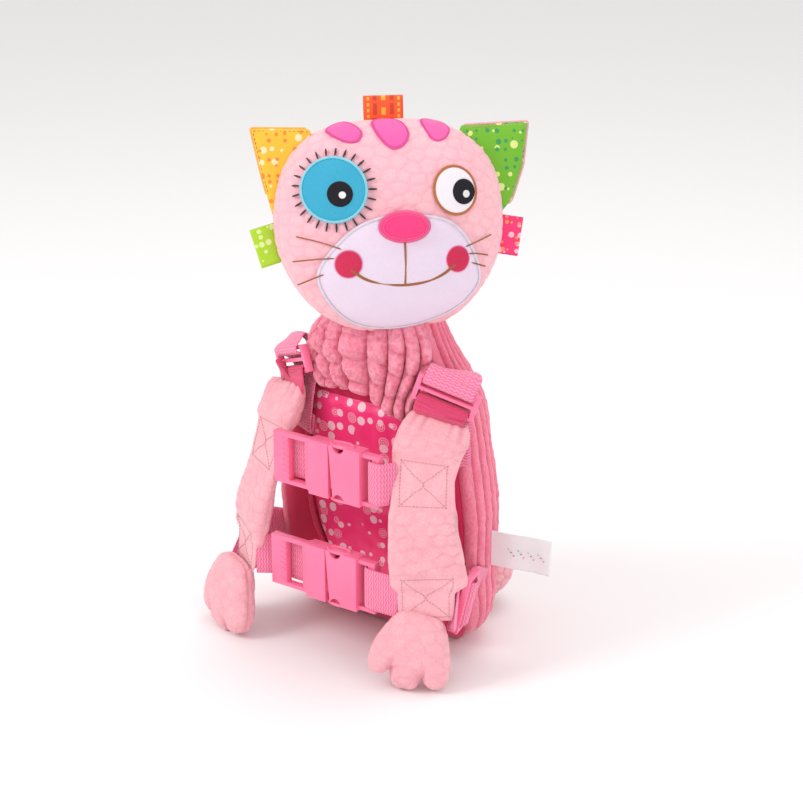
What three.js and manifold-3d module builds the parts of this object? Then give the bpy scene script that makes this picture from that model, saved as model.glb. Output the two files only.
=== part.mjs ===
// Toddler harness backpack in the shape of a hugging plush cat.
// Millimetres, +Z up, the front faces -Y, and the origin is the middle of the bag's base on the floor.

import * as THREE from 'three';
import { mergeVertices } from 'three/addons/utils/BufferGeometryUtils.js';
import Module from 'manifold-3d';

const wasm = await Module();
wasm.setup();

// Clearances
const clearance = 0.3;
const clothGap = 0.5;
const faceGap = 0.8;

// Bag
const bagHeight = 206;
const bagHalfWidth = 75;
const bagDepth = 70;
const bagWall = 3;
const bagRibDepth = 1.6;
const bagFloorWall = 4;
const bagSquareness = 2.6;

// Sections of the bag from its base up: the height as a share of bagHeight, the half width and the lean
// to +X as shares of bagHalfWidth, and the front, the widest line and the back as shares of bagDepth
const bagRows = [
  { up: 0.00, wide: 0.74, shift: 0.00, front: -0.17, middle: -0.02, back: 0.34 },
  { up: 0.03, wide: 0.84, shift: 0.00, front: -0.28, middle: -0.06, back: 0.40 },
  { up: 0.09, wide: 0.91, shift: 0.00, front: -0.38, middle: -0.13, back: 0.45 },
  { up: 0.21, wide: 0.94, shift: 0.00, front: -0.43, middle: -0.22, back: 0.47 },
  { up: 0.38, wide: 0.95, shift: 0.00, front: -0.44, middle: -0.26, back: 0.48 },
  { up: 0.54, wide: 0.88, shift: 0.00, front: -0.45, middle: -0.22, back: 0.49 },
  { up: 0.70, wide: 0.76, shift: 0.02, front: -0.47, middle: -0.18, back: 0.46 },
  { up: 0.80, wide: 0.64, shift: 0.05, front: -0.51, middle: -0.23, back: 0.32 },
  { up: 0.88, wide: 0.54, shift: 0.07, front: -0.56, middle: -0.28, back: 0.14 },
  { up: 1.00, wide: 0.42, shift: 0.09, front: -0.58, middle: -0.32, back: 0.00 },
];
const bagRibbedColumns = 52;
const bagFrontColumns = 10;
const bagSteps = 10;
const cavityColumns = 24;
const cavitySteps = 6;
const bagRibbedFrom = -25;
const cavityTop = 0.80;

// Printed front panel, with its piping
const panelLow = 34;
const panelTop = 147;
const panelHalfWidth = 39;
const panelThickness = 2.4;
const pipingRadius = 1.6;
const panelRows = [
  { up: 0.00, wide: 0.50 },
  { up: 0.10, wide: 0.64 },
  { up: 0.25, wide: 0.86 },
  { up: 0.40, wide: 0.96 },
  { up: 0.65, wide: 1.00 },
  { up: 1.00, wide: 0.96 },
];

// Chunky ribbed bib under the chin, with the height of its lower edge across it as a share of bagHeight
const yokeRibs = 8;
const yokeBody = 3;
const yokeRibHeight = 4.4;
const yokePinch = 0.35;
const yokeLowSpread = 28;
const yokeTopSpread = 72;
const yokeTurn = 3;
const yokeEdgeRows = [
  { across: 0.00, up: 0.73 },
  { across: 0.45, up: 0.74 },
  { across: 0.65, up: 0.71 },
  { across: 0.85, up: 0.69 },
  { across: 1.00, up: 0.70 },
];

// Zip across the back, closed
const zipUp = 0.61;
const zipLength = 88;
const zipHeight = 7;
const zipThickness = 2.4;
const sliderWidth = 9;
const sliderDrop = 22;
const sliderThickness = 2;

// Tail and side label
const tailAt = new THREE.Vector3(32, 43, 22);
const tailSize = new THREE.Vector3(20, 19, 17.5);
const labelLength = 36;
const labelWidth = 22;
const labelThickness = 1;
const labelUp = 0.31;
const labelAngle = 9;

// Head, a padded pillow whose seam runs round its outline
const headWidth = 128;
const headHeight = 115;
const headDepth = 72;
const headAt = new THREE.Vector3(8, -19, 250);
const headTurn = 43;
const headLift = 13;
const headFullness = 2.6;
const headCrown = 2.2;
const headJawTaper = 0.16;
const headColumns = 28;
const headRings = 14;

// Cloth shapes sewn on the face
const feltThickness = 1.2;
const padThickness = 2.6;

// Straps and webbing
const strapWidth = 35;
const strapThickness = 11;
const strapReach = 60;
const webbingThickness = 1.4;
const beltWidth = 25;
const shoulderWebbingWidth = 30;

// Paws
const pawWidth = 47;
const pawLength = 45;
const pawThickness = 19;

// Side-release buckles
const buckleLength = 75;
const buckleHeight = 33;
const buckleThickness = 9;
const buckleFrame = 4.6;

// Ladder locks
const lockWidth = 37;
const lockHeight = 16;
const lockThickness = 4;

const colours = {
  plush: 0xf7c6cc,
  muzzle: 0xe8d7e6,
  rib: 0xeb698c,
  print: 0xeb2d6e,
  nose: 0xfa4682,
  cheek: 0xd72d5f,
  stripe: 0xfa69b4,
  blue: 0x5fc3e1,
  orange: 0xdc7828,
  ink: 0x1c1a20,
  yellow: 0xfac33c,
  green: 0x73be32,
  ribbonOrange: 0xfa5a14,
  ribbonLime: 0xa5d714,
  ribbonPink: 0xf5376e,
  webbing: 0xf578b4,
  webbingDeep: 0xeb3c82,
  plastic: 0xfa78a0,
  label: 0xf6f2f6,
};

const toRadians = THREE.MathUtils.degToRad;
const pack = new THREE.Group();

// A curve through the rows of a table: the value of one column at a share of the table's first column
function alongTable(rows, column, share, by = 'up') {
  let row = 0;
  while (row < rows.length - 2 && share > rows[row + 1][by]) {
    row += 1;
  }
  const before = rows[Math.max(row - 1, 0)];
  const start = rows[row];
  const end = rows[row + 1];
  const after = rows[Math.min(row + 2, rows.length - 1)];
  const span = end[by] - start[by];
  const t = THREE.MathUtils.clamp((share - start[by]) / span, 0, 1);
  const slopeStart = (end[column] - before[column]) / (end[by] - before[by]) * span;
  const slopeEnd = (after[column] - start[column]) / (after[by] - start[by]) * span;
  const t2 = t * t;
  const t3 = t2 * t;
  return (2 * t3 - 3 * t2 + 1) * start[column] + (t3 - 2 * t2 + t) * slopeStart
    + (3 * t2 - 2 * t3) * end[column] + (t3 - t2) * slopeEnd;
}

// Six times the volume inside a closed triangle mesh, negative where its faces point inwards
function signedVolume(position, index) {
  const a = new THREE.Vector3();
  const b = new THREE.Vector3();
  const c = new THREE.Vector3();
  let sum = 0;
  for (let corner = 0; corner < index.count; corner += 3) {
    a.fromBufferAttribute(position, index.getX(corner));
    b.fromBufferAttribute(position, index.getX(corner + 1));
    c.fromBufferAttribute(position, index.getX(corner + 2));
    sum += a.dot(b.cross(c));
  }
  return sum;
}

// Welds a geometry into one closed surface without normals or texture coordinates
function weld(geometry, tolerance) {
  const bare = geometry.clone();
  bare.deleteAttribute('normal');
  bare.deleteAttribute('uv');
  const joined = mergeVertices(bare, tolerance);
  const index = joined.getIndex();
  const kept = [];
  for (let corner = 0; corner < index.count; corner += 3) {
    const [a, b, c] = [index.getX(corner), index.getX(corner + 1), index.getX(corner + 2)];
    if (a !== b && b !== c && c !== a) {
      kept.push(a, b, c);
    }
  }
  joined.setIndex(kept);
  return joined;
}

// Moves every vertex of a unit geometry with the function place and turns its faces outwards
function reshape(geometry, place) {
  const welded = weld(geometry, 1e-4);
  const position = welded.getAttribute('position');
  const vertex = new THREE.Vector3();
  for (let i = 0; i < position.count; i += 1) {
    vertex.fromBufferAttribute(position, i);
    const moved = place(vertex);
    position.setXYZ(i, moved.x, moved.y, moved.z);
  }
  const closed = weld(welded, 1e-3);
  if (signedVolume(closed.getAttribute('position'), closed.getIndex()) < 0) {
    const flipped = Array.from(closed.getIndex().array);
    for (let corner = 0; corner < flipped.length; corner += 3) {
      [flipped[corner + 1], flipped[corner + 2]] = [flipped[corner + 2], flipped[corner + 1]];
    }
    closed.setIndex(flipped);
  }
  return closed;
}

function toManifold(geometry) {
  const welded = weld(geometry, 1e-4);
  const mesh = new wasm.Mesh({
    numProp: 3,
    vertProperties: new Float32Array(welded.getAttribute('position').array),
    triVerts: new Uint32Array(welded.getIndex().array),
  });
  return new wasm.Manifold(mesh);
}

// The geometry of a cut solid, without the slivers that a cut can leave beside it
function fromManifold(solid) {
  const bodies = solid.decompose().sort((one, other) => other.volume() - one.volume());
  const mesh = bodies[0].getMesh();
  const geometry = new THREE.BufferGeometry();
  geometry.setAttribute('position', new THREE.BufferAttribute(new Float32Array(mesh.vertProperties), 3));
  geometry.setIndex(new THREE.BufferAttribute(new Uint32Array(mesh.triVerts), 1));
  return geometry;
}

function add(name, geometry, colour, roughness, group = pack) {
  const flatShaded = geometry.index ? geometry : mergeVertices(geometry);
  flatShaded.computeVertexNormals();
  const material = new THREE.MeshStandardMaterial({ color: colour, roughness, metalness: 0 });
  const mesh = new THREE.Mesh(flatShaded, material);
  mesh.name = name;
  group.add(mesh);
  return mesh;
}

// A disc of unit radius and thickness with rings of vertices, as a profile turned about its own axis
function ringedDisc(rings, segments) {
  const profile = [];
  for (let ring = 0; ring <= rings; ring += 1) {
    profile.push(new THREE.Vector2(ring / rings, 0));
  }
  for (let ring = rings; ring >= 0; ring -= 1) {
    profile.push(new THREE.Vector2(ring / rings, 1));
  }
  return new THREE.LatheGeometry(profile, segments);
}

// A strip of cloth or webbing along a path. Its width lies along the direction side(share) and its
// thickness across the path. thicknessAt scales it along its length.
function strip(points, steps, width, thickness, side, thicknessAt = () => 1, across = 1) {
  const curve = new THREE.CatmullRomCurve3(points, false, 'centripetal');
  const box = new THREE.BoxGeometry(1, 1, 1, steps, across, 1);
  return reshape(box, (corner) => {
    const share = corner.x + 0.5;
    const centre = curve.getPoint(share);
    const tangent = curve.getTangent(share);
    const sideways = side(share).clone().normalize();
    sideways.addScaledVector(tangent, -sideways.dot(tangent)).normalize();
    const through = new THREE.Vector3().crossVectors(tangent, sideways);
    const edge = Math.abs(corner.y) * 2;
    const fullness = across > 1 ? 1 - 0.55 * edge ** 3 : 1;
    return centre.clone()
      .addScaledVector(sideways, corner.y * width)
      .addScaledVector(through, corner.z * thickness * thicknessAt(share) * fullness);
  });
}

// Bag surface

function bagSection(up) {
  return {
    z: up * bagHeight,
    halfWidth: alongTable(bagRows, 'wide', up) * bagHalfWidth,
    centre: alongTable(bagRows, 'shift', up) * bagHalfWidth,
    front: alongTable(bagRows, 'front', up) * bagDepth,
    middle: alongTable(bagRows, 'middle', up) * bagDepth,
    back: alongTable(bagRows, 'back', up) * bagDepth,
  };
}

// A point on the bag at an angle from +X towards the back, moved in by inset
function bagPoint(up, angle, inset) {
  const section = bagSection(up);
  const along = Math.cos(angle);
  const towards = Math.sin(angle);
  const depth = towards > 0 ? section.back - section.middle : section.middle - section.front;
  const power = 2 / bagSquareness;
  return new THREE.Vector3(
    section.centre + (section.halfWidth - inset) * Math.sign(along) * Math.abs(along) ** power,
    section.middle + (depth - inset) * Math.sign(towards) * Math.abs(towards) ** power,
    section.z,
  );
}

// The bag's front, Y at a place across and up
function bagFrontAt(x, z) {
  const section = bagSection(z / bagHeight);
  const share = Math.min(Math.abs(x - section.centre) / section.halfWidth, 0.98);
  const reach = (1 - share ** bagSquareness) ** (1 / bagSquareness);
  return section.middle - (section.middle - section.front) * reach;
}

// The bag's back, Y at a place across and up
function bagBackAt(x, z) {
  const section = bagSection(z / bagHeight);
  const share = Math.min(Math.abs(x - section.centre) / section.halfWidth, 0.98);
  const reach = (1 - share ** bagSquareness) ** (1 / bagSquareness);
  return section.middle + (section.back - section.middle) * reach;
}

// Head surface, in the head's own frame: +X to the face's right side as seen, +Z up, -Y forwards

function headOutlineWidth(z, grow) {
  const low = Math.max(-z / (headHeight / 2), 0);
  return (headWidth / 2) * (1 - headJawTaper * low ** 1.6) + grow;
}

// How far out a point lies, 1 on the head's surface
function headLevel(point, grow) {
  const across = Math.abs(point.x) / headOutlineWidth(point.z, grow);
  const up = Math.abs(point.z) / (headHeight / 2 + grow);
  const through = Math.abs(point.y) / (headDepth / 2 + grow);
  return across ** headFullness + up ** headFullness + through ** headCrown;
}

function headSolid(grow, around, rings) {
  const ball = new THREE.SphereGeometry(1, around, rings);
  return reshape(ball, (direction) => {
    const ray = new THREE.Vector3(
      direction.x * headWidth / 2,
      direction.y * headDepth / 2,
      direction.z * headHeight / 2,
    );
    let inner = 0.5;
    let outer = 2;
    for (let halving = 0; halving < 30; halving += 1) {
      const reach = (inner + outer) / 2;
      if (headLevel(ray.clone().multiplyScalar(reach), grow) < 1) {
        inner = reach;
      } else {
        outer = reach;
      }
    }
    return ray.multiplyScalar((inner + outer) / 2);
  });
}

function headFront(x, z) {
  const across = Math.abs(x) / headOutlineWidth(z, 0);
  const up = Math.abs(z) / (headHeight / 2);
  const rest = Math.max(1 - across ** headFullness - up ** headFullness, 0);
  return -(headDepth / 2) * rest ** (1 / headCrown);
}

// A point over the face at a height above the cloth
function overFace(x, z, height) {
  const step = 0.5;
  const slopeX = (headFront(x + step, z) - headFront(x - step, z)) / (2 * step);
  const slopeZ = (headFront(x, z + step) - headFront(x, z - step)) / (2 * step);
  const outwards = new THREE.Vector3(slopeX, -1, slopeZ).normalize();
  return new THREE.Vector3(x, headFront(x, z), z).addScaledVector(outwards, height);
}

// Bag

function bagSolid(inset, columns, steps, from, to, ribbed) {
  const frontShare = bagFrontColumns / (bagFrontColumns + bagRibbedColumns);
  const ribbedArc = 180 - 2 * bagRibbedFrom;
  const barrel = new THREE.CylinderGeometry(1, 1, 1, columns, steps);
  return reshape(barrel, (corner) => {
    const up = from + (corner.y + 0.5) * (to - from);
    const reach = Math.hypot(corner.x, corner.z);
    const turn = ((Math.atan2(corner.x, corner.z) / (2 * Math.PI)) + 1) % 1;
    const column = Math.round(turn * columns);
    let degrees = turn * 360;
    let groove = 0;
    if (ribbed) {
      const share = column / columns;
      const onRibs = share < 1 - frontShare;
      degrees = onRibs
        ? bagRibbedFrom + ribbedArc * share / (1 - frontShare)
        : bagRibbedFrom + ribbedArc + (360 - ribbedArc) * (share - 1 + frontShare) / frontShare;
      const odd = column % 2 === 1;
      groove = onRibs && odd ? bagRibDepth * THREE.MathUtils.smoothstep(up, 0, 0.06) : 0;
    }
    const surface = bagPoint(up, toRadians(degrees), inset + groove);
    const { centre, middle } = bagSection(up);
    return new THREE.Vector3(
      centre + (surface.x - centre) * reach,
      middle + (surface.y - middle) * reach,
      surface.z,
    );
  });
}

const headFrame = new THREE.Group();
headFrame.position.copy(headAt);
headFrame.rotation.set(-toRadians(headLift), 0, toRadians(headTurn), 'ZXY');
headFrame.updateMatrix();
pack.add(headFrame);
const headCut = toManifold(headSolid(clearance, headColumns, headRings));
const headPlaced = headSolid(clearance, headColumns, headRings).applyMatrix4(headFrame.matrix);
const headCutInPlace = toManifold(headPlaced);

const bagOuter = toManifold(bagSolid(0, bagRibbedColumns + bagFrontColumns, bagSteps, 0, 1, true));
const cavityInset = bagWall + bagRibDepth;
const cavityFrom = bagFloorWall / bagHeight;
const cavity = toManifold(bagSolid(cavityInset, cavityColumns, cavitySteps, cavityFrom, cavityTop, false));
const zipZ = zipUp * bagHeight;
const zipCutDepth = 40;
const zipCutBox = new THREE.BoxGeometry(zipLength, zipCutDepth, zipHeight);
zipCutBox.translate(0, bagBackAt(0, zipZ) - zipCutDepth / 4, zipZ);
const bagShell = bagOuter.subtract(cavity).subtract(toManifold(zipCutBox)).subtract(headCutInPlace);
add('bag_shell', fromManifold(bagShell), colours.rib, 0.95);

// Front panel and its piping

function panelHalfWidthAt(z) {
  return panelHalfWidth * alongTable(panelRows, 'wide', (z - panelLow) / (panelTop - panelLow));
}

add('front_panel', reshape(new THREE.BoxGeometry(1, 1, 1, 8, 1, 10), (corner) => {
  const z = panelLow + (corner.z + 0.5) * (panelTop - panelLow);
  const x = 2 * corner.x * panelHalfWidthAt(z);
  const crown = 1 - 0.5 * Math.abs(2 * corner.x) ** 4;
  const height = corner.y < 0 ? clothGap + panelThickness * crown : clothGap;
  return new THREE.Vector3(x, bagFrontAt(x, z) - height, z);
}), colours.print, 0.45);

const pipingPath = [];
const pipingSteps = 8;
const pipingOffset = pipingRadius + clearance + 1.1;
const pipingRise = 0.95;
const pipingPoint = (x, z) => new THREE.Vector3(x, bagFrontAt(x, z) - pipingRadius - clothGap - 0.2, z);
const pipingEdge = (side, step) => {
  const z = panelLow + (panelTop - panelLow) * pipingRise * step / pipingSteps;
  return pipingPoint(side * (panelHalfWidthAt(z) + pipingOffset), z);
};
for (let step = pipingSteps; step >= 0; step -= 1) {
  pipingPath.push(pipingEdge(-1, step));
}
for (const across of [-0.55, 0, 0.55]) {
  pipingPath.push(pipingPoint(across * panelHalfWidthAt(panelLow), panelLow - pipingOffset - 1.5));
}
for (let step = 0; step <= pipingSteps; step += 1) {
  pipingPath.push(pipingEdge(1, step));
}
const pipingShape = new THREE.Shape();
pipingShape.absarc(0, 0, pipingRadius, 0, 2 * Math.PI, false);
const pipingCurve = new THREE.CatmullRomCurve3(pipingPath, false, 'centripetal');
const piping = new THREE.ExtrudeGeometry(pipingShape, {
  steps: 36, curveSegments: 3, bevelEnabled: false, extrudePath: pipingCurve,
});
add('panel_piping', reshape(piping, (corner) => corner.clone()), colours.ribbonPink, 0.6);

// Zip and its slider

add('zip', reshape(new THREE.BoxGeometry(1, 1, 1, 14, 1, 1), (corner) => {
  const x = corner.x * (zipLength - 2 * clearance);
  const z = zipZ + corner.z * (zipHeight - 2 * clearance);
  const inwards = corner.y < 0 ? zipThickness : 0;
  return new THREE.Vector3(x, bagBackAt(x, z) - inwards, z);
}), colours.ribbonPink, 0.6);

const sliderX = -zipLength / 4;
const sliderTurn = Math.atan2(bagBackAt(sliderX + 1, zipZ) - bagBackAt(sliderX - 1, zipZ), 2);
const slider = new THREE.BoxGeometry(sliderWidth, sliderThickness, sliderDrop);
slider.rotateX(-0.09);
slider.rotateZ(sliderTurn);
const sliderY = bagBackAt(sliderX, zipZ) + sliderThickness / 2 + 1.5;
slider.translate(sliderX, sliderY, zipZ - sliderDrop / 2 + zipHeight / 2);
add('zip_slider', reshape(slider, (corner) => corner.clone()), colours.plastic, 0.4);

// Tail and side label

const bagClear = bagSolid(-clearance, bagRibbedColumns + bagFrontColumns, bagSteps, 0, 1, true);
const bagCut = toManifold(bagClear);
const tailBall = reshape(new THREE.SphereGeometry(1, 18, 10), (direction) => {
  const power = 0.85;
  const round = (value) => Math.sign(value) * Math.abs(value) ** power;
  return new THREE.Vector3(round(direction.x), round(direction.y), round(direction.z))
    .multiply(tailSize).add(tailAt);
});
add('tail', fromManifold(toManifold(tailBall).subtract(bagCut)), colours.plush, 0.95);

const labelRoot = bagPoint(labelUp, toRadians(labelAngle), -clearance - 0.1);
const labelOut = new THREE.Vector3(0.95, 0.24, -0.04).normalize();
const labelTip = labelRoot.clone().addScaledVector(labelOut, labelLength);
const labelMiddle = labelRoot.clone().lerp(labelTip, 0.5).add(new THREE.Vector3(0, -0.8, 0));
const labelSide = new THREE.Vector3(0.1, 0, 1);
const labelStrip = strip([labelRoot, labelMiddle, labelTip], 6, labelWidth, labelThickness, () => labelSide);
add('side_label', fromManifold(toManifold(labelStrip).subtract(bagCut)), colours.label, 0.6);

// Head and what is sewn on it

add('head', headSolid(0, headColumns, headRings), colours.plush, 0.95, headFrame);

// A cloth patch on the face, its outline a closed curve of points across and up the face
function facePatch(name, outline, rings, segments, lift, thickness, colour, roughness) {
  const curve = new THREE.CatmullRomCurve3(outline, true, 'centripetal');
  const middle = new THREE.Vector3();
  for (const point of outline) {
    middle.addScaledVector(point, 1 / outline.length);
  }
  const patch = reshape(ringedDisc(rings, segments), (corner) => {
    const reach = Math.min(Math.hypot(corner.x, corner.z), 1);
    const turn = ((Math.atan2(corner.x, corner.z) / (2 * Math.PI)) + 1) % 1;
    const rim = curve.getPoint(turn);
    const x = THREE.MathUtils.lerp(middle.x, rim.x, reach);
    const z = THREE.MathUtils.lerp(middle.z, rim.z, reach);
    const crown = 1 - 0.35 * reach ** 4;
    return overFace(x, z, lift + (corner.y > 0.5 ? thickness * crown : 0));
  });
  return add(name, patch, colour, roughness, headFrame);
}

function facePoints(shares) {
  return shares.map(([across, up]) => new THREE.Vector3(across * headWidth / 2, 0, up * headHeight / 2));
}

function faceOval(across, up, halfWidth, halfHeight) {
  const points = [];
  for (let step = 0; step < 12; step += 1) {
    const angle = (step / 12) * 2 * Math.PI;
    points.push(new THREE.Vector3(
      across * headWidth / 2 + halfWidth * Math.cos(angle),
      0,
      up * headHeight / 2 + halfHeight * Math.sin(angle),
    ));
  }
  return points;
}

// Outlines on the face, across and up as shares of half the head's width and height
const muzzleOutline = [
  [-0.64, -0.44], [-0.42, -0.10], [-0.21, 0.04], [0.07, 0.08], [0.44, 0.02], [0.61, -0.17],
  [0.72, -0.53], [0.67, -0.64], [0.51, -0.78], [0.06, -0.92], [-0.33, -0.88], [-0.56, -0.68],
];
const stripeOutlines = {
  stripe_left: [[-0.53, 0.87], [-0.36, 0.93], [-0.24, 0.84], [-0.29, 0.77], [-0.37, 0.76]],
  stripe_middle: [[-0.14, 0.93], [0.10, 0.94], [0.16, 0.82], [0.09, 0.70], [-0.02, 0.69]],
  stripe_right: [[0.29, 0.93], [0.50, 0.90], [0.55, 0.85], [0.46, 0.75], [0.37, 0.75]],
};
const firstLayer = faceGap;
const secondLayer = firstLayer + feltThickness + clothGap;

facePatch('muzzle', facePoints(muzzleOutline), 5, 24, firstLayer, feltThickness, colours.muzzle, 0.95);

// Round pieces on the face: their middle across and up as shares of half the head's width and height,
// and their half width and half height as shares of the left eye patch's half width
const eyeHalfWidth = 18;
const faceOvals = [
  { name: 'nose', across: 0.07, up: -0.03, wide: 0.78, high: 0.48, layer: 2, colour: 'nose' },
  { name: 'cheek_left', across: -0.40, up: -0.35, wide: 0.42, high: 0.42, layer: 2, colour: 'cheek' },
  { name: 'cheek_right', across: 0.523, up: -0.35, wide: 0.40, high: 0.40, layer: 2, colour: 'cheek' },
  { name: 'eye_patch_left', across: -0.50, up: 0.35, wide: 1.00, high: 1.00, layer: 1, colour: 'blue' },
  { name: 'pupil_left', across: -0.47, up: 0.31, wide: 0.37, high: 0.37, layer: 2, colour: 'ink' },
  { name: 'eye_patch_right', across: 0.515, up: 0.335, wide: 0.67, high: 0.78, layer: 1, colour: 'label' },
  { name: 'pupil_right', across: 0.57, up: 0.33, wide: 0.32, high: 0.345, layer: 2, colour: 'ink' },
];
for (const oval of faceOvals) {
  const outline = faceOval(oval.across, oval.up, oval.wide * eyeHalfWidth, oval.high * eyeHalfWidth);
  const segments = oval.wide > 0.6 ? 20 : 12;
  const lift = oval.layer === 1 ? firstLayer : secondLayer;
  const thickness = oval.name === 'nose' ? padThickness : feltThickness;
  facePatch(oval.name, outline, 2, segments, lift, thickness, colours[oval.colour], 0.9);
}
for (const [name, shares] of Object.entries(stripeOutlines)) {
  facePatch(name, facePoints(shares), 2, 16, firstLayer, feltThickness, colours.stripe, 0.9);
}

// Ears, in the plane of the head's seam and cut to its form
const earThickness = 6;
const earBevel = 1.2;
const earTip = { ear_left: 1.17, ear_right: 1.25 };
const earInnerCorners = [[0.66, 0.92], [0.60, 0.70], [0.80, 0.12], [0.96, 0.02]];
for (const [name, side, colour] of [['ear_left', -1, colours.yellow], ['ear_right', 1, colours.green]]) {
  const earCorners = [[earTip[name], 0.94], ...earInnerCorners];
  const shape = new THREE.Shape();
  earCorners.forEach(([across, up], corner) => {
    const x = side * across * headWidth / 2;
    const y = up * headHeight / 2;
    if (corner === 0) {
      shape.moveTo(x, y);
    } else {
      shape.lineTo(x, y);
    }
  });
  shape.closePath();
  const ear = new THREE.ExtrudeGeometry(shape, {
    depth: earThickness - 2 * earBevel,
    bevelEnabled: true,
    bevelThickness: earBevel,
    bevelSize: earBevel,
    bevelSegments: 2,
  });
  ear.rotateX(Math.PI / 2);
  ear.translate(0, (earThickness - 2 * earBevel) / 2, 0);
  const cut = toManifold(reshape(ear, (corner) => corner.clone())).subtract(headCut);
  add(name, fromManifold(cut), colour, 0.6, headFrame);
}

// Ribbon loops sewn into the head's seam
const ribbonWidth = 22;
const ribbonReach = 12.5;
const ribbonRoot = 10;
const ribbonThickness = 1.1;
const ribbonSlit = 1.4;
const loops = [
  { name: 'ribbon_loop_top', x: -1, z: headHeight / 2, direction: 90, colour: colours.ribbonOrange },
  { name: 'ribbon_loop_left', x: -headWidth / 2 + 2, z: -9, direction: 196, colour: colours.ribbonLime },
  { name: 'ribbon_loop_right', x: headWidth / 2 - 2, z: -8, direction: -10, colour: colours.ribbonPink },
];
for (const loop of loops) {
  const half = ribbonThickness + ribbonSlit / 2;
  const shape = new THREE.Shape();
  shape.moveTo(-ribbonRoot, half);
  shape.lineTo(ribbonReach - half, half);
  shape.absarc(ribbonReach - half, 0, half, Math.PI / 2, -Math.PI / 2, true);
  shape.lineTo(-ribbonRoot, -half);
  shape.lineTo(-ribbonRoot, -ribbonSlit / 2);
  shape.lineTo(ribbonReach - half, -ribbonSlit / 2);
  shape.absarc(ribbonReach - half, 0, ribbonSlit / 2, -Math.PI / 2, Math.PI / 2, false);
  shape.lineTo(-ribbonRoot, ribbonSlit / 2);
  shape.closePath();
  const ribbon = new THREE.ExtrudeGeometry(shape, {
    depth: ribbonWidth, bevelEnabled: false, curveSegments: 4,
  });
  ribbon.translate(0, 0, -ribbonWidth / 2);
  ribbon.rotateY(-toRadians(loop.direction));
  ribbon.translate(loop.x, 0, loop.z);
  const cut = toManifold(reshape(ribbon, (corner) => corner.clone())).subtract(headCut);
  add(loop.name, fromManifold(cut), loop.colour, 0.5, headFrame);
}

// Shoulder straps. Each row gives the middle of the strap as shares of strapReach outwards, strapReach
// forwards and bagHeight up, its splay in degrees and its fullness as a share of strapThickness.
const strapRows = [
  { along: 0.0, out: 0.95, fore: 0.60, up: 0.730, splay: 24, full: 0.40 },
  { along: 0.2, out: 0.94, fore: 0.80, up: 0.632, splay: 24, full: 0.95 },
  { along: 0.4, out: 0.99, fore: 0.92, up: 0.530, splay: 26, full: 0.55 },
  { along: 0.6, out: 1.04, fore: 0.99, up: 0.428, splay: 30, full: 1.00 },
  { along: 0.8, out: 1.10, fore: 1.04, up: 0.315, splay: 32, full: 1.00 },
  { along: 1.0, out: 1.15, fore: 1.09, up: 0.195, splay: 32, full: 0.40 },
];
const strapOutset = { left: -5, right: -1 };
const lockOutset = { left: -4, right: 4 };
const lockRise = 12.5;
const anchorUp = { left: 0.81, right: 0.83 };

function strapSplay(along) {
  return toRadians(alongTable(strapRows, 'splay', along, 'along'));
}

function strapPoint(sideSign, along) {
  const outset = sideSign < 0 ? strapOutset.left : strapOutset.right;
  return new THREE.Vector3(
    sideSign * (alongTable(strapRows, 'out', along, 'along') * strapReach + outset),
    -alongTable(strapRows, 'fore', along, 'along') * strapReach,
    alongTable(strapRows, 'up', along, 'along') * bagHeight,
  );
}

function strapSide(sideSign, along) {
  const splay = strapSplay(along);
  return new THREE.Vector3(sideSign * Math.cos(splay), Math.sin(splay), 0);
}

function strapSolid(sideSign, steps, grow) {
  const points = strapRows.map((row) => strapPoint(sideSign, row.along));
  return strip(points, steps, strapWidth + 2 * grow, strapThickness, (share) => strapSide(sideSign, share),
    (share) => alongTable(strapRows, 'full', share, 'along') + 2 * grow / strapThickness, 4);
}

// Straps, paws, ladder locks and their webbing, on both sides
const pawLean = { left: -7, right: -13 };
const pawFoot = { left: new THREE.Vector3(-73, -76, 0), right: new THREE.Vector3(60, -77, 0) };
const pawSplay = { left: -20, right: 27 };

// Half the outline of a paw from the wrist down to the middle toe, across and up as shares of half its
// width and length
const pawOutline = [
  [0.00, 1.00], [0.48, 0.96], [0.68, 0.70], [0.86, 0.25], [1.00, -0.25], [0.98, -0.60],
  [0.80, -0.80], [0.58, -0.78], [0.42, -0.64], [0.33, -0.88], [0.16, -1.00], [0.00, -1.00],
];
const toeGrooveAt = 0.40;
const toeGroove = 0.4;

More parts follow.
